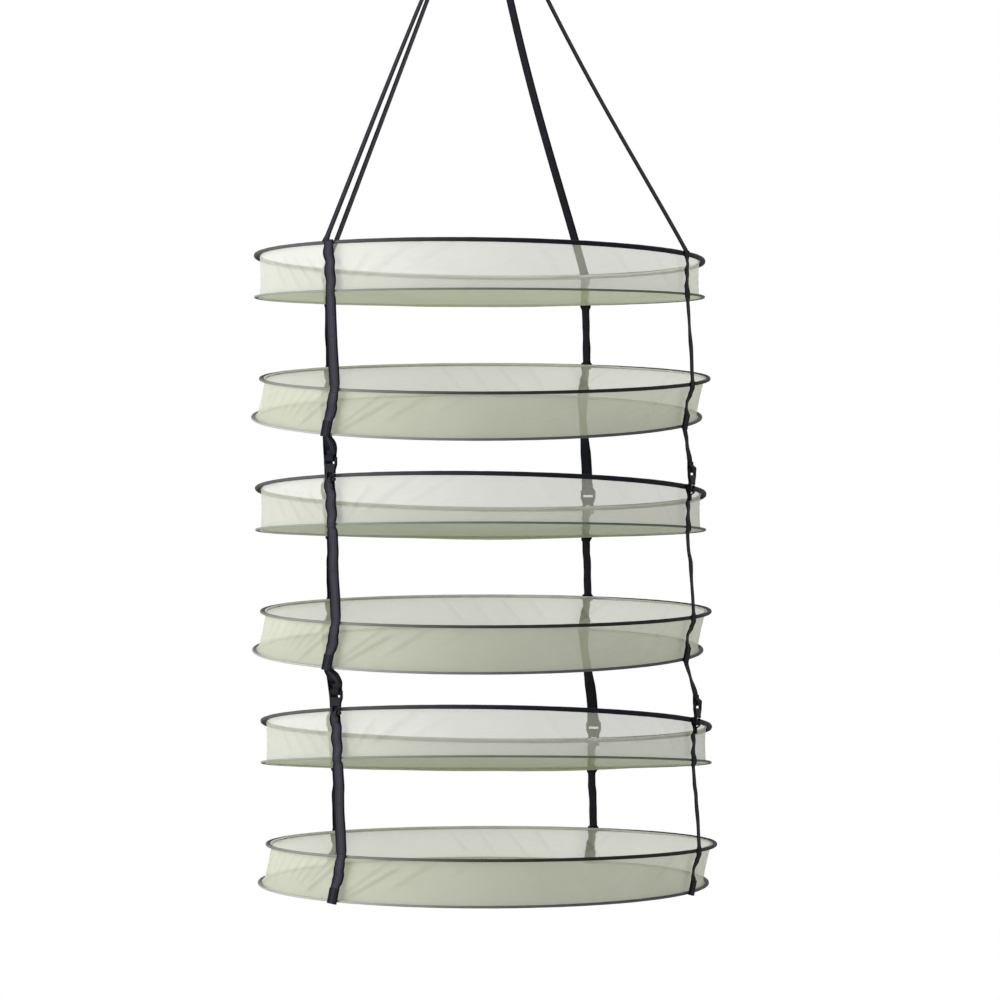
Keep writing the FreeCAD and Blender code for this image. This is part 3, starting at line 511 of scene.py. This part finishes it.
def webbing(name, outer, outer_edge, inner, inner_edge):
    """Polyester webbing in a herringbone weave: darker selvedges, a paler middle with painted sheen
    along it, and a plain back.

    The weave's rows are 1 mm wide on the real webbing and are drawn at 2 mm. Where the attribute "sewn"
    says so, rows of stitches lie across it. The UV map's distance across has INNER_FACE added on the
    back, which tells the two faces apart.
    """
    material, tree = new_material(name)
    uv = add(tree, "SeparateXYZ", {"Vector": add(tree, "UVMap", uv_map="cloth")})
    along, around = uv.outputs["X"], uv.outputs["Y"]
    back = add(tree, "Math", {0: around, 1: INNER_FACE / 2}, operation="GREATER_THAN")
    across = add(tree, "Math", {0: back, 1: -INNER_FACE, 2: around}, operation="MULTIPLY_ADD")
    off = add(tree, "Math", {0: across}, operation="ABSOLUTE")
    # Selvedges: they start 5 to 6 mm from the middle.
    edge = add(tree, "MapRange", {"Value": off, "From Min": 0.0048, "From Max": 0.0062})
    # Herringbone: the slant turns over every 2 mm across, which a folded distance across gives.
    folded = add(tree, "Math", {0: across, 1: WEAVE_ROW}, operation="PINGPONG")
    slant = add(tree, "Math", {0: folded, 1: 1.3, 2: along}, operation="MULTIPLY_ADD")
    turns = add(tree, "Math", {0: slant, 1: 2 * np.pi / WEAVE_ROW}, operation="MULTIPLY")
    rows = add(tree, "Math", {0: turns}, operation="SINE")
    weave = add(tree, "MapRange", {"Value": rows, "From Min": -1, "From Max": 1})
    # Painted sheen: two pale lines run along the middle of the outer face, 1.2 mm to each side.
    yarn = add(tree, "Math", {0: off, 1: 0.0012}, operation="SUBTRACT")
    yarn = add(tree, "Math", {0: yarn}, operation="ABSOLUTE")
    pale = add(tree, "MapRange", {"Value": yarn, "From Min": 0.0003, "From Max": 0.0009,
                                  "To Min": 0.35, "To Max": 0})
    place = add(tree, "TexCoord").outputs["Object"]
    cloud = add(tree, "TexNoise", {"Vector": place, "Scale": 60, "Detail": 3})
    faces = [add(tree, "MixRGB", {"Fac": edge, "Color1": colour, "Color2": border})
             for colour, border in ((outer, outer_edge), (inner, inner_edge))]
    face = add(tree, "MixRGB", {"Fac": back, "Color1": faces[0], "Color2": faces[1]})
    shadow = add(tree, "MapRange", {"Value": weave, "To Min": 0.78, "To Max": 1.1})
    clouded = add(tree, "MapRange", {"Value": cloud, "To Min": 0.8, "To Max": 1.2})
    lit = add(tree, "VectorMath", {0: face, "Scale": shadow}, operation="SCALE")
    lit = add(tree, "VectorMath", {0: lit, "Scale": clouded}, operation="SCALE")
    front = add(tree, "Math", {0: 1, 1: back}, operation="SUBTRACT")
    pale = add(tree, "Math", {0: pale, 1: front}, operation="MULTIPLY")
    cloth = add(tree, "MixRGB", {"Fac": pale, "Color1": lit, "Color2": "#55565F"})
    # Stitches: rows 2.5 mm apart and 0.7 mm wide.
    sewn = add(tree, "Attribute", attribute_name="sewn").outputs["Fac"]
    sewn = add(tree, "Math", {0: sewn, 1: 0.5}, operation="GREATER_THAN")
    row = add(tree, "Math", {0: along, 1: STITCH_ROW}, operation="DIVIDE")
    row = add(tree, "Math", {0: row}, operation="FRACT")
    in_row = add(tree, "Math", {0: row, 1: 0.28}, operation="LESS_THAN")
    thread = add(tree, "Math", {0: in_row, 1: sewn}, operation="MULTIPLY")
    shade = add(tree, "MixRGB", {"Fac": thread, "Color1": cloth, "Color2": "#24252C"})
    height = add(tree, "Math", {0: weave, 1: thread}, operation="ADD")
    bump = add(tree, "Bump", {"Height": height, "Strength": 0.35, "Distance": 0.0004})
    rough = add(tree, "MapRange", {"Value": weave, "To Min": 0.8, "To Max": 0.62})
    surface = add(tree, "BsdfPrincipled", {
        "Base Color": shade, "Roughness": rough, "IOR": 1.5,
        "Specular IOR Level": 0.06, "Normal": bump})
    add(tree, "OutputMaterial", {"Surface": surface})
    return material


def eased(place, table):
    """A table's value at each place: from one row to the next it eases out and in again."""
    at, height = np.array(table).T
    row = np.clip(np.searchsorted(at, place, side="right") - 1, 0, len(at) - 2)
    share = np.clip((place - at[row]) / (at[row + 1] - at[row]), 0, 1)
    return height[row] + (height[row + 1] - height[row]) * share ** 2 * (3 - 2 * share)


def outward(corner):
    """The level direction from the middle of the rack to a strap: its angle's cosine and sine."""
    angle = np.radians(STRAP_ANGLES[corner])
    return np.array((np.cos(angle), np.sin(angle), 0))


def along_rim(corner):
    """The level direction along the rim at a strap, a quarter turn on from the way out."""
    angle = np.radians(STRAP_ANGLES[corner])
    return np.array((-np.sin(angle), np.cos(angle), 0))


def strap_point(corner, tray, side):
    """Middle of the webbing where it lies against a hoop: level distance out, height of the plane."""
    centre, axis, _ = HOOPS[tray, side]
    out = outward(corner) * STRAP_RADIUS
    return centre + out - np.array((0, 0, out @ axis / axis[2]))


def ribbon(name, line, width_way, material, sewn, width=STRAP_WIDTH, thick=STRAP_THICK):
    """Webbing along a line of points: a flat section with rounded edges, carried along it.

    width_way is the direction of its width at each point, squared to the line. The section's other
    direction is the cross product of the two. Its faces are crowned: half the thickness, less about
    an eighth of that times the square of the way to the edge. sewn says at each point of the line
    whether stitches lie there, as 1 or 0.
    """
    ahead = np.gradient(line, axis=0)
    ahead /= np.linalg.norm(ahead, axis=1, keepdims=True)
    side = width_way - (width_way * ahead).sum(1)[:, None] * ahead
    side /= np.linalg.norm(side, axis=1, keepdims=True)
    face = np.cross(ahead, side)
    half, lip = width / 2, thick / 2
    flat = np.linspace(-1, 1, 7) * (half - lip)
    turn = np.radians((60, 20, -20, -60))
    bend = np.stack((half - lip + lip * np.cos(turn), lip * np.sin(turn)), -1)
    crown = lip * (1 - 0.12 * (flat / half) ** 2)
    outer = np.stack((flat, crown), -1)
    inner = np.stack((flat[::-1], -crown), -1)
    section = np.concatenate((outer, bend, inner, -bend, outer[:1]))
    x = section[:, 0]
    place = np.concatenate((x[:11], x[11:22] + INNER_FACE, x[:1]))
    grid = line[:, None] + section[None, :, :1] * side[:, None] + section[None, :, 1:] * face[:, None]
    uv = np.stack(np.broadcast_arrays(arc_length(line)[:, None], place), -1)
    piece = lay(name, grid, uv, material, around=True, capped=True)
    column = piece.data.attributes.new("sewn", "FLOAT", "POINT")
    column.data.foreach_set("value", np.repeat(sewn, len(section) - 1).astype(np.float32))
    return piece


# How far the webbing has crept along the rim at the four hoops of a pair, from the top, in millimetres,
# and how far it has turned between hoops, in degrees.
CREEP = {"front_left": (-5.5, -2.5, -3.5, -6), "front_right": (-3, -1, -1, -3),
         "back_right": (1, 0, 6, 0.5), "back_left": (5.5, -1, 6, 2)}
TWIST = {"front_left": -13, "front_right": -9, "back_right": 24, "back_left": -4}

# Slack along a wall: share of the way down, and how far the webbing goes out, across or round, in
# millimetres or degrees. HELD is the share of a strap's twist that it takes there.
UPPER_OUT = ((0, 0), (0.12, 0), (0.27, 0.8), (0.42, -1.2), (0.58, 0), (0.76, -1.6), (0.93, 0), (1, 0))
UPPER_ACROSS = ((0, 0), (0.2, -0.4), (0.4, 0.7), (0.58, 0.1), (0.8, 0.8), (1, 0))
UPPER_TURN = ((0, 0), (0.12, 0), (0.27, -5), (0.45, 6), (0.62, -4), (0.8, 6), (0.93, 0), (1, 0))
UPPER_HELD = ((0, 0), (0.09, 0), (0.22, 1), (0.8, 1), (0.94, 0), (1, 0))
LOWER_OUT = ((0, 0), (0.06, 0), (0.14, 1), (0.27, -0.4), (0.44, -3.2), (0.56, -2.2), (0.68, 0), (1, 0))
LOWER_ACROSS = ((0, 0), (0.15, 0.9), (0.4, -0.6), (0.6, -0.4), (0.7, 0), (1, 0))
LOWER_TURN = ((0, 0), (0.1, 0), (0.25, 6), (0.5, -6), (0.66, 0), (1, 0))
LOWER_HELD = ((0, 0), (0.09, 0), (0.22, 1), (0.55, 1), (0.68, 0.1), (0.92, 0.1), (1, 0))


def sewn_point(corner, tray, side, rise, share=1.0):
    """Where the webbing is sewn to a hoop, a little above or below its plane: the strap's own place,
    moved along the rim by a share of its creep, and up or down to stay in the hoop's plane."""
    hoop_of_pair = (side == "bottom") + 2 * (tray not in UPPER_TRAYS)
    creep = CREEP[corner][hoop_of_pair] / 1000 * along_rim(corner)
    creep = creep * share
    axis = HOOPS[tray, side][1]
    return strap_point(corner, tray, side) + creep + (0, 0, rise - creep @ axis / axis[2])


def facing(corner, turn):
    """Direction of the webbing's width, turned from the rim's direction towards the way out."""
    return along_rim(corner) * np.cos(turn)[:, None] + outward(corner) * np.sin(turn)[:, None]


def wall_line(corner, tray, down):
    """Line of the webbing beside a wall, and the direction of its width, at shares of the way down.

    It is a straight line between its two sewn ends, with the slack's tables added, each livelier or
    calmer by up to a quarter from strap to strap.
    """
    head = sewn_point(corner, tray, "top", STRAP_LIP)
    foot = sewn_point(corner, tray, "bottom", -STRAP_LIP)
    upper = tray in UPPER_TRAYS
    lively = 1 + 0.25 * np.random.default_rng(tray * 7 + len(corner)).uniform(-1, 1, 3)
    out = eased(down, UPPER_OUT if upper else LOWER_OUT) / 1000 * lively[0]
    across = eased(down, UPPER_ACROSS if upper else LOWER_ACROSS) / 1000 * lively[1]
    turn = eased(down, UPPER_TURN if upper else LOWER_TURN) * lively[2]
    turn = np.radians(turn + TWIST[corner] * eased(down, UPPER_HELD if upper else LOWER_HELD))
    line = head + (foot - head) * down[:, None] + outward(corner) * out[:, None]
    return line + along_rim(corner) * across[:, None], facing(corner, turn)


def stretch(piece, node):
    """Bakes the webbing's place into its mesh and hides the CAD piece that it stands for."""
    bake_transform(piece)
    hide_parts(node)


def stretch_on_wall(piece, tray):
    """The same, from the top hoop of one tray to its bottom hoop."""
    stretch(piece, f"tray_{tray}_wall_straps")


def wall_webbing(corner, tray, material):
    """A ribbon along the wall's line, stitched near its two ends, where it is sewn to the hoops."""
    down = np.linspace(0, 1, 57)
    line, way = wall_line(corner, tray, down)
    sewn = ((down < 0.14) | (down > 0.9)).astype(float)
    piece = ribbon(f"webbing_wall_{tray}_{corner}", line, way, material, sewn=sewn)
    stretch_on_wall(piece, tray)


def lap(corner, tray, material):
    """The second ply: it lies on the wall webbing's outer face, from two thirds down to the hoop."""
    down = np.linspace(0.68, 1, 25)
    line, way = wall_line(corner, tray, down)
    line = line + outward(corner) * (STRAP_THICK + LAP_GAP)
    piece = ribbon(f"webbing_lap_{tray}_{corner}", line, way, material, sewn=np.ones(25))
    stretch_on_wall(piece, tray)


# Painted light and sheen: the front left straps get a paler slate face; all four are one webbing.
sheen_lit_webbing = webbing("slate polyester webbing", "#33323C", "#0D0E13", "#0F1015", "#07080B")
black_webbing = webbing("black polyester webbing", "#12131B", "#07080B", "#191A24", "#090A0E")
WEBBING = {"front_left": sheen_lit_webbing, "front_right": black_webbing,
           "back_right": black_webbing, "back_left": black_webbing}
for tray in TRAYS:
    for corner in STRAP_ANGLES:
        wall_webbing(corner, tray, WEBBING[corner])
        if tray not in UPPER_TRAYS:
            lap(corner, tray, black_webbing)


# Webbing inside a pair: the same straps run straight and almost taut from the upper tray's bottom hoop
# to the lower tray's top hoop. Each has one sewn join, halfway down.

TUCK = 0.002
TUCK_THICK = 0.0012
GAP_BOW = 0.0009
UNDER_TAB = 0.0018
TABBED_TRAYS = (3, 5)


def gap_webbing(corner, tray, material):
    """A straight run with a slow turn and a small bow, both nil at its ends: a wander times a sine's
    hump.

    It is a little thinner than the webbing beside the walls, and its ends are tucked into that, so that
    the webbing looks unbroken over a hoop. Under a tab it passes further in, so that the tab clears it
    when the tray folds.
    """
    down = np.linspace(0, 1, 81)
    head = sewn_point(corner, tray, "bottom", TUCK - STRAP_LIP)
    foot = sewn_point(corner, tray + 1, "top", STRAP_LIP - TUCK)
    seed = 200 + tray * 7 + len(corner)
    free = np.sin(np.pi * down)
    bow = GAP_BOW * wander(down, (3, 7, 13), seed) * free
    turn = np.radians(5) * wander(down, (5, 9, 17), seed + 1) * free
    held = eased(down, ((0, 0), (0.02, 0), (0.08, 1), (0.95, 1), (1, 0)))
    turn = turn + np.radians(TWIST[corner]) * held
    if tray in TABBED_TRAYS:
        inward = eased(down, ((0, 0), (0.015, 0), (0.05, 1), (0.25, 1), (0.4, 0), (1, 0)))
        bow = bow - UNDER_TAB * inward
    line = head + (foot - head) * down[:, None] + outward(corner) * bow[:, None]
    way = facing(corner, turn)
    sewn = ((abs(down - 0.46) < 0.02) | (down < 0.05) | (down > 0.96)).astype(float)
    piece = ribbon(f"webbing_gap_{tray}_{corner}", line, way, material, thick=TUCK_THICK, sewn=sewn)
    stretch(piece, f"gap_straps_{tray}_{tray + 1}")


for tray in UPPER_TRAYS:
    for corner in STRAP_ANGLES:
        gap_webbing(corner, tray, WEBBING[corner])


# Webbing between pairs: each strap runs down to a snap clip, goes round the clip's bar and comes up
# again to a short tail, sewn flat on the strap.

TAB_DROP = 0.006
CLIP_OUT = 0.0043
CLIP_TOP = 0.0306
FOLD_RISE = 0.0281
FOLD_OUT = 0.003
FOLD_START = 0.010
# The tail's points after the fold: distance out, and height over the top of the clip.
TAIL = ((FOLD_OUT, 0.0008), (-0.0013, 0.0042), (-0.0014, 0.0090))
LINK_CREEP = 0.4
LINK_BOW = 0.0008


def clip_origin(corner, tray):
    """Middle of a clip's hook: outside the hoop's strap point and a little below it."""
    return strap_point(corner, tray, "top") + outward(corner) * CLIP_OUT - (0, 0, TAB_DROP)


def spaced(points, count):
    """The same line with its points evenly spaced."""
    reach = arc_length(points)
    even = np.linspace(0, reach[-1], count)
    return np.stack([np.interp(even, reach, points[:, i]) for i in range(3)], -1)


def link_webbing(corner, tray, material):
    """Down from the hoop, half round the bar as an arc, and up to the tail.

    Its head is sewn less far along the rim than the foot of the wall webbing, and it comes back to the
    clip on the way down: the sideways part eases out and in again, so that both ends are straight.
    """
    head = sewn_point(corner, tray - 1, "bottom", TUCK - STRAP_LIP, LINK_CREEP)
    arc = np.linspace(np.pi, 2 * np.pi, 13)
    bend = np.stack((FOLD_OUT * np.cos(arc), FOLD_RISE + FOLD_OUT * np.sin(arc)), -1)
    tail = [(out, CLIP_TOP + high) for out, high in TAIL]
    fold = np.concatenate((((-FOLD_OUT, CLIP_TOP + FOLD_START),), bend, tail))
    origin = clip_origin(corner, tray)
    route = origin + fold[:, :1] * outward(corner) + fold[:, 1:] * np.array((0, 0, 1))
    share = np.linspace(0, 1, 25)[:-1, None]
    side = (route[0] - head) @ along_rim(corner) * along_rim(corner)
    back = eased(share, ((0, 0), (0.08, 0), (0.95, 1), (1, 1)))
    drop = head + (route[0] - head - side) * share + side * back
    line = spaced(np.concatenate((drop, route)), 121)
    down = arc_length(line) / arc_length(line)[-1]
    seed = 300 + tray * 7 + len(corner)
    free = np.clip(np.sin(np.pi * np.clip(down / 0.5, 0, 1)), 0, 1)
    line = line + outward(corner) * (LINK_BOW * wander(down, (9, 17), seed) * free)[:, None]
    turn = np.radians(TWIST[corner] + 4 * wander(down, (11, 23), seed + 1)) * free
    way = facing(corner, turn)
    sewn = ((down < 0.04) | (down > 0.94)).astype(float)
    piece = ribbon(f"webbing_link_{tray}_{corner}", line, way, material, thick=TUCK_THICK, sewn=sewn)
    stretch(piece, f"link_straps_{tray - 1}_{tray}")


for tray in TABBED_TRAYS:
    for corner in STRAP_ANGLES:
        link_webbing(corner, tray, black_webbing)


# Tape tabs: a 5 mm polyester tape goes through each clip's hook and is sewn flat on the wall webbing
# under it. It lets the lower pair be unhooked.

TAB_WIDTH = 0.005
TAB_THICK = 0.0012
TAB_BEND = 0.0029
TAB_OVER = 0.0008
# Distance out of the tab's two plies where it is sewn, and heights of its foot, of the top of its
# stitches and of the start of its loop.
TAB_PLIES = (0.0014, 0.0014 + 0.00125)
TAB_FOOT, TAB_SEWN, TAB_OPEN = -0.019, -0.0112, -0.0080


def tab(corner, tray, material):
    """Up from its foot, over the hook's bottom bar as an arc, and down to lie on itself."""
    origin = strap_point(corner, tray, "top")
    arc = np.linspace(np.pi, 0, 11)
    over = np.stack((CLIP_OUT + TAB_BEND * np.cos(arc),
                     -TAB_DROP + TAB_OVER + TAB_BEND * np.sin(arc)), -1)
    near, far = TAB_PLIES
    route = np.concatenate((
        ((near, TAB_FOOT), (near, TAB_SEWN), (CLIP_OUT - TAB_BEND, TAB_OPEN)), over,
        ((CLIP_OUT + TAB_BEND, TAB_OPEN), (far, TAB_SEWN), (far, TAB_FOOT))))
    points = origin + route[:, :1] * outward(corner) + route[:, 1:] * np.array((0, 0, 1))
    line = spaced(points, 61)
    way = np.tile(along_rim(corner), (61, 1))
    down = np.linspace(0, 1, 61)
    piece = ribbon(f"tab_{tray}_{corner}", line, way, material, width=TAB_WIDTH, thick=TAB_THICK,
                   sewn=((down < 0.12) | (down > 0.88)).astype(float))
    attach(piece, f"tray_{tray}_top")
    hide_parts(f"tray_{tray}_wall_straps")


for tray in TABBED_TRAYS:
    for corner in STRAP_ANGLES:
        tab(corner, tray, black_webbing)


# Snap clips: flat hooks of black acetal, injection moulded, each with a slot for the webbing and a
# sprung tongue across the mouth of its hook. The mould leaves a satin skin with a faint grain.

def moulded_acetal():
    """Satin black plastic: a fine spark-eroded grain, and slow changes of gloss from the mould."""
    material, tree = new_material("black acetal, moulded")
    place = add(tree, "TexCoord").outputs["Object"]
    grain = add(tree, "TexNoise", {"Vector": place, "Scale": 2500, "Detail": 2})
    flow = add(tree, "TexNoise", {"Vector": place, "Scale": 120, "Detail": 3})
    shade = add(tree, "MixRGB", {"Fac": flow, "Color1": "#08090C", "Color2": "#121318"})
    rough = add(tree, "MapRange", {"Value": flow, "To Min": 0.45, "To Max": 0.62})
    bump = add(tree, "Bump", {"Height": grain, "Strength": 0.2, "Distance": 0.0001})
    surface = add(tree, "BsdfPrincipled", {
        "Base Color": shade, "Roughness": rough, "IOR": 1.48,
        "Specular IOR Level": 0.1, "Normal": bump})
    add(tree, "OutputMaterial", {"Surface": surface})
    return material


acetal = moulded_acetal()
for pair in ("2_3", "4_5"):
    wear(f"link_clips_{pair}", acetal)
    for corner in STRAP_ANGLES:
        wear(f"clip_tongue_{pair}_{corner}", acetal)


# Hanger: four straps run up from the first hoop and are sewn in a stack with a loop of the same
# webbing, which hangs in a welded ring of nickel-plated steel.

LOOP_PLY = 0.0035
LOOP_BEND = -0.03556
LOOP_OPEN = -0.0385
LOOP_CLOSED = 0.00075
GATHER_TOP = -0.0442
GATHER_FOOT = -0.0682
GATHER_INSET = 0.0003
GATHER_MIDDLE = 0.0007
GATHER_PLY = 0.0015
# Place of each hang length in the stack, how far it has crept along the rim and bows to the right at
# its middle, in metres, and how far it is twisted, in degrees.
STACK = {"front_left": -2, "front_right": -1, "back_left": 1, "back_right": 2}
HANG_CREEP = {"front_left": -0.0055, "front_right": 0, "back_right": 0, "back_left": 0}
HANG_BOW = {"front_left": -0.0025, "front_right": -0.008, "back_right": -0.0075, "back_left": 0}
HANG_TWIST = {"front_left": 32, "front_right": -4, "back_right": 24, "back_left": -30}


def nickel_plate():
    """Nickel plate over polished wire: a warm bright grey with faint rubbed streaks."""
    material, tree = new_material("nickel plate")
    place = add(tree, "TexCoord").outputs["Object"]
    rub = add(tree, "TexNoise", {"Vector": place, "Scale": 260, "Detail": 4, "Roughness": 0.7})
    shade = add(tree, "MixRGB", {"Fac": rub, "Color1": "#A9A59C", "Color2": "#CFCBC2"})
    rough = add(tree, "MapRange", {"Value": rub, "To Min": 0.14, "To Max": 0.3})
    bump = add(tree, "Bump", {"Height": rub, "Strength": 0.05, "Distance": 0.0002})
    surface = add(tree, "BsdfPrincipled", {
        "Base Color": shade, "Metallic": 1, "Roughness": rough, "Normal": bump})
    add(tree, "OutputMaterial", {"Surface": surface})
    return material


wear("hang_ring", nickel_plate())


def ring_loop(material):
    """The loop: up one side of the stack, out, over the ring's wire as an arc, and down the other."""
    arc = np.linspace(np.pi, 0, 17)
    over = np.stack((LOOP_PLY * np.cos(arc), LOOP_BEND + LOOP_PLY * np.sin(arc)), -1)
    rise = np.array(((-LOOP_CLOSED, GATHER_FOOT), (-LOOP_CLOSED, GATHER_TOP), (-LOOP_PLY, LOOP_OPEN)))
    route = np.concatenate((rise, over, rise[::-1] * (-1, 1)))
    line = spaced(np.insert(route, 0, 0, axis=1), 121)
    high = line[:, 2]
    piece = ribbon("ring_loop", line, np.tile((1.0, 0, 0), (121, 1)), material,
                   sewn=(high < GATHER_TOP - 0.001).astype(float))
    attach(piece, "hanger")
    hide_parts("hang_loop")


def hang_webbing(corner, material):
    """Down the stack and then to the first hoop, turning from the stack's width to the rim's.

    The turn is done in the first quarter of the way, as a smooth step. The run is a straight line with
    a shallow sideways bow, as stiff webbing takes: a sine's hump, drawn in a little at its ends.
    """
    side = np.sign(STACK[corner])
    across = side * (GATHER_MIDDLE + abs(STACK[corner]) * GATHER_PLY)
    top = np.array((0, across, GATHER_TOP - GATHER_INSET))
    start = np.array((0, across, GATHER_FOOT))
    end = sewn_point(corner, 1, "top", STRAP_LIP - TUCK) + along_rim(corner) * HANG_CREEP[corner]
    stack = top + (start - top) * np.linspace(0, 1, 13)[:-1, None]
    down = np.linspace(0, 1, 181)
    run = start + (end - start) * down[:, None]
    run[:, 0] += HANG_BOW[corner] * np.abs(np.sin(np.pi * down)) ** 1.5
    line = np.concatenate((stack, run))
    turned = eased(down, ((0, 0), (0.25, 1), (1, 1)))
    turned = np.concatenate((np.zeros(12), turned))[:, None]
    twist = np.radians(HANG_TWIST[corner]) * eased(down, ((0, 0), (0.25, 1), (0.98, 0.85), (1, 0.5)))
    way = facing(corner, np.concatenate((np.zeros(12), twist)))
    way = np.array((-side, 0, 0)) * (1 - turned) + way * turned
    sewn = ((line[:, 2] > GATHER_FOOT + 0.001) | (line[:, 2] < end[2] + 0.006)).astype(float)
    piece = ribbon(f"webbing_hang_{corner}", line, way, material, thick=TUCK_THICK, sewn=sewn)
    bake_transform(piece)
    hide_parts("hang_straps")


# The back left length gets a paler back face: painted sheen where it catches the light.
sheen_lit_hang_webbing = webbing("slate polyester webbing, turned over", "#12131B", "#07080B",
                         "#4A4D57", "#1A1B21")
ring_loop(black_webbing)
for corner in STRAP_ANGLES:
    hang_webbing(corner, sheen_lit_hang_webbing if corner == "back_left" else black_webbing)


# Studio: a pale floor under the hanging rack, large soft lights, and a white surround. The camera is
# level and far off, as the photograph's lines are almost parallel.

FLOOR_HALF = 3
FLOOR_LEVEL = -1.75


def pale_floor():
    """Matt white paint: plain and rough, so it shows the rack's soft shadow and no gloss."""
    material, tree = new_material("matt white studio floor")
    surface = add(tree, "BsdfPrincipled", {"Base Color": "#F2F2F0", "Roughness": 0.9})
    add(tree, "OutputMaterial", {"Surface": surface})
    return material


spot = np.linspace(-FLOOR_HALF, FLOOR_HALF, 3)
gx, gy = np.meshgrid(spot, spot, indexing="ij")
ground = lay("studio_floor", np.stack((gx, gy, np.full_like(gx, FLOOR_LEVEL)), -1),
             np.stack((gx, gy), -1), pale_floor())

# The surround is white to a look, a reflection or a see-through, and lights the rack more softly.
SURROUND_LIGHT = 0.37
world = bpy.data.worlds.new("white studio")
bpy.context.scene.world = world
world.use_nodes = True
sky = world.node_tree
sky.nodes.clear()
rays = add(sky, "LightPath")
seen = add(sky, "Math", {0: rays.outputs["Is Camera Ray"], 1: rays.outputs["Is Glossy Ray"]},
           operation="MAXIMUM")
seen = add(sky, "Math", {0: seen, 1: rays.outputs["Is Transmission Ray"]}, operation="MAXIMUM")
light = add(sky, "MapRange", {"Value": seen, "To Min": SURROUND_LIGHT, "To Max": 1})
surround = add(sky, "Background", {"Color": (1, 1, 1, 1), "Strength": light})
add(sky, "OutputWorld", {"Surface": surround})

# Each lamp's name, place and size in metres, and power in watts. All are aimed at the rack's middle.
MIDDLE = np.array((0, 0, -0.93))
for name, place, size, power in (
        ("key", (-3.2, -0.9, -0.5), 4, 188), ("fill", (-0.8, -3.3, -0.6), 2.4, 13),
        ("top", (-0.3, 0.2, 2.2), 2.0, 26), ("back", (0.4, 3.2, 0.2), 2.4, 10)):
    lamp = bpy.data.lights.new(name, "AREA")
    lamp.size = size
    lamp.energy = power
    stand = bpy.data.objects.new(name, lamp)
    stand.location = place
    stand.visible_camera = False
    aim = MIDDLE - np.array(place)
    tip, swing = np.arctan2(np.hypot(aim[0], aim[1]), -aim[2]), np.arctan2(-aim[0], aim[1])
    stand.rotation_euler = (tip, 0, swing)
    bpy.context.scene.collection.objects.link(stand)

# From 60 m away this lens takes in 1.35 m, as the photograph does.
camera = bpy.data.cameras.new("camera")
camera.sensor_width = 36
camera.lens = 1600.5
camera.clip_end = 100
viewer = bpy.data.objects.new("camera", camera)
viewer.location = (0.0277, -60, -0.929)
viewer.rotation_euler = (np.pi / 2, 0, 0)
bpy.context.scene.collection.objects.link(viewer)
bpy.context.scene.camera = viewer
bpy.context.scene.view_settings.view_transform = "Standard"
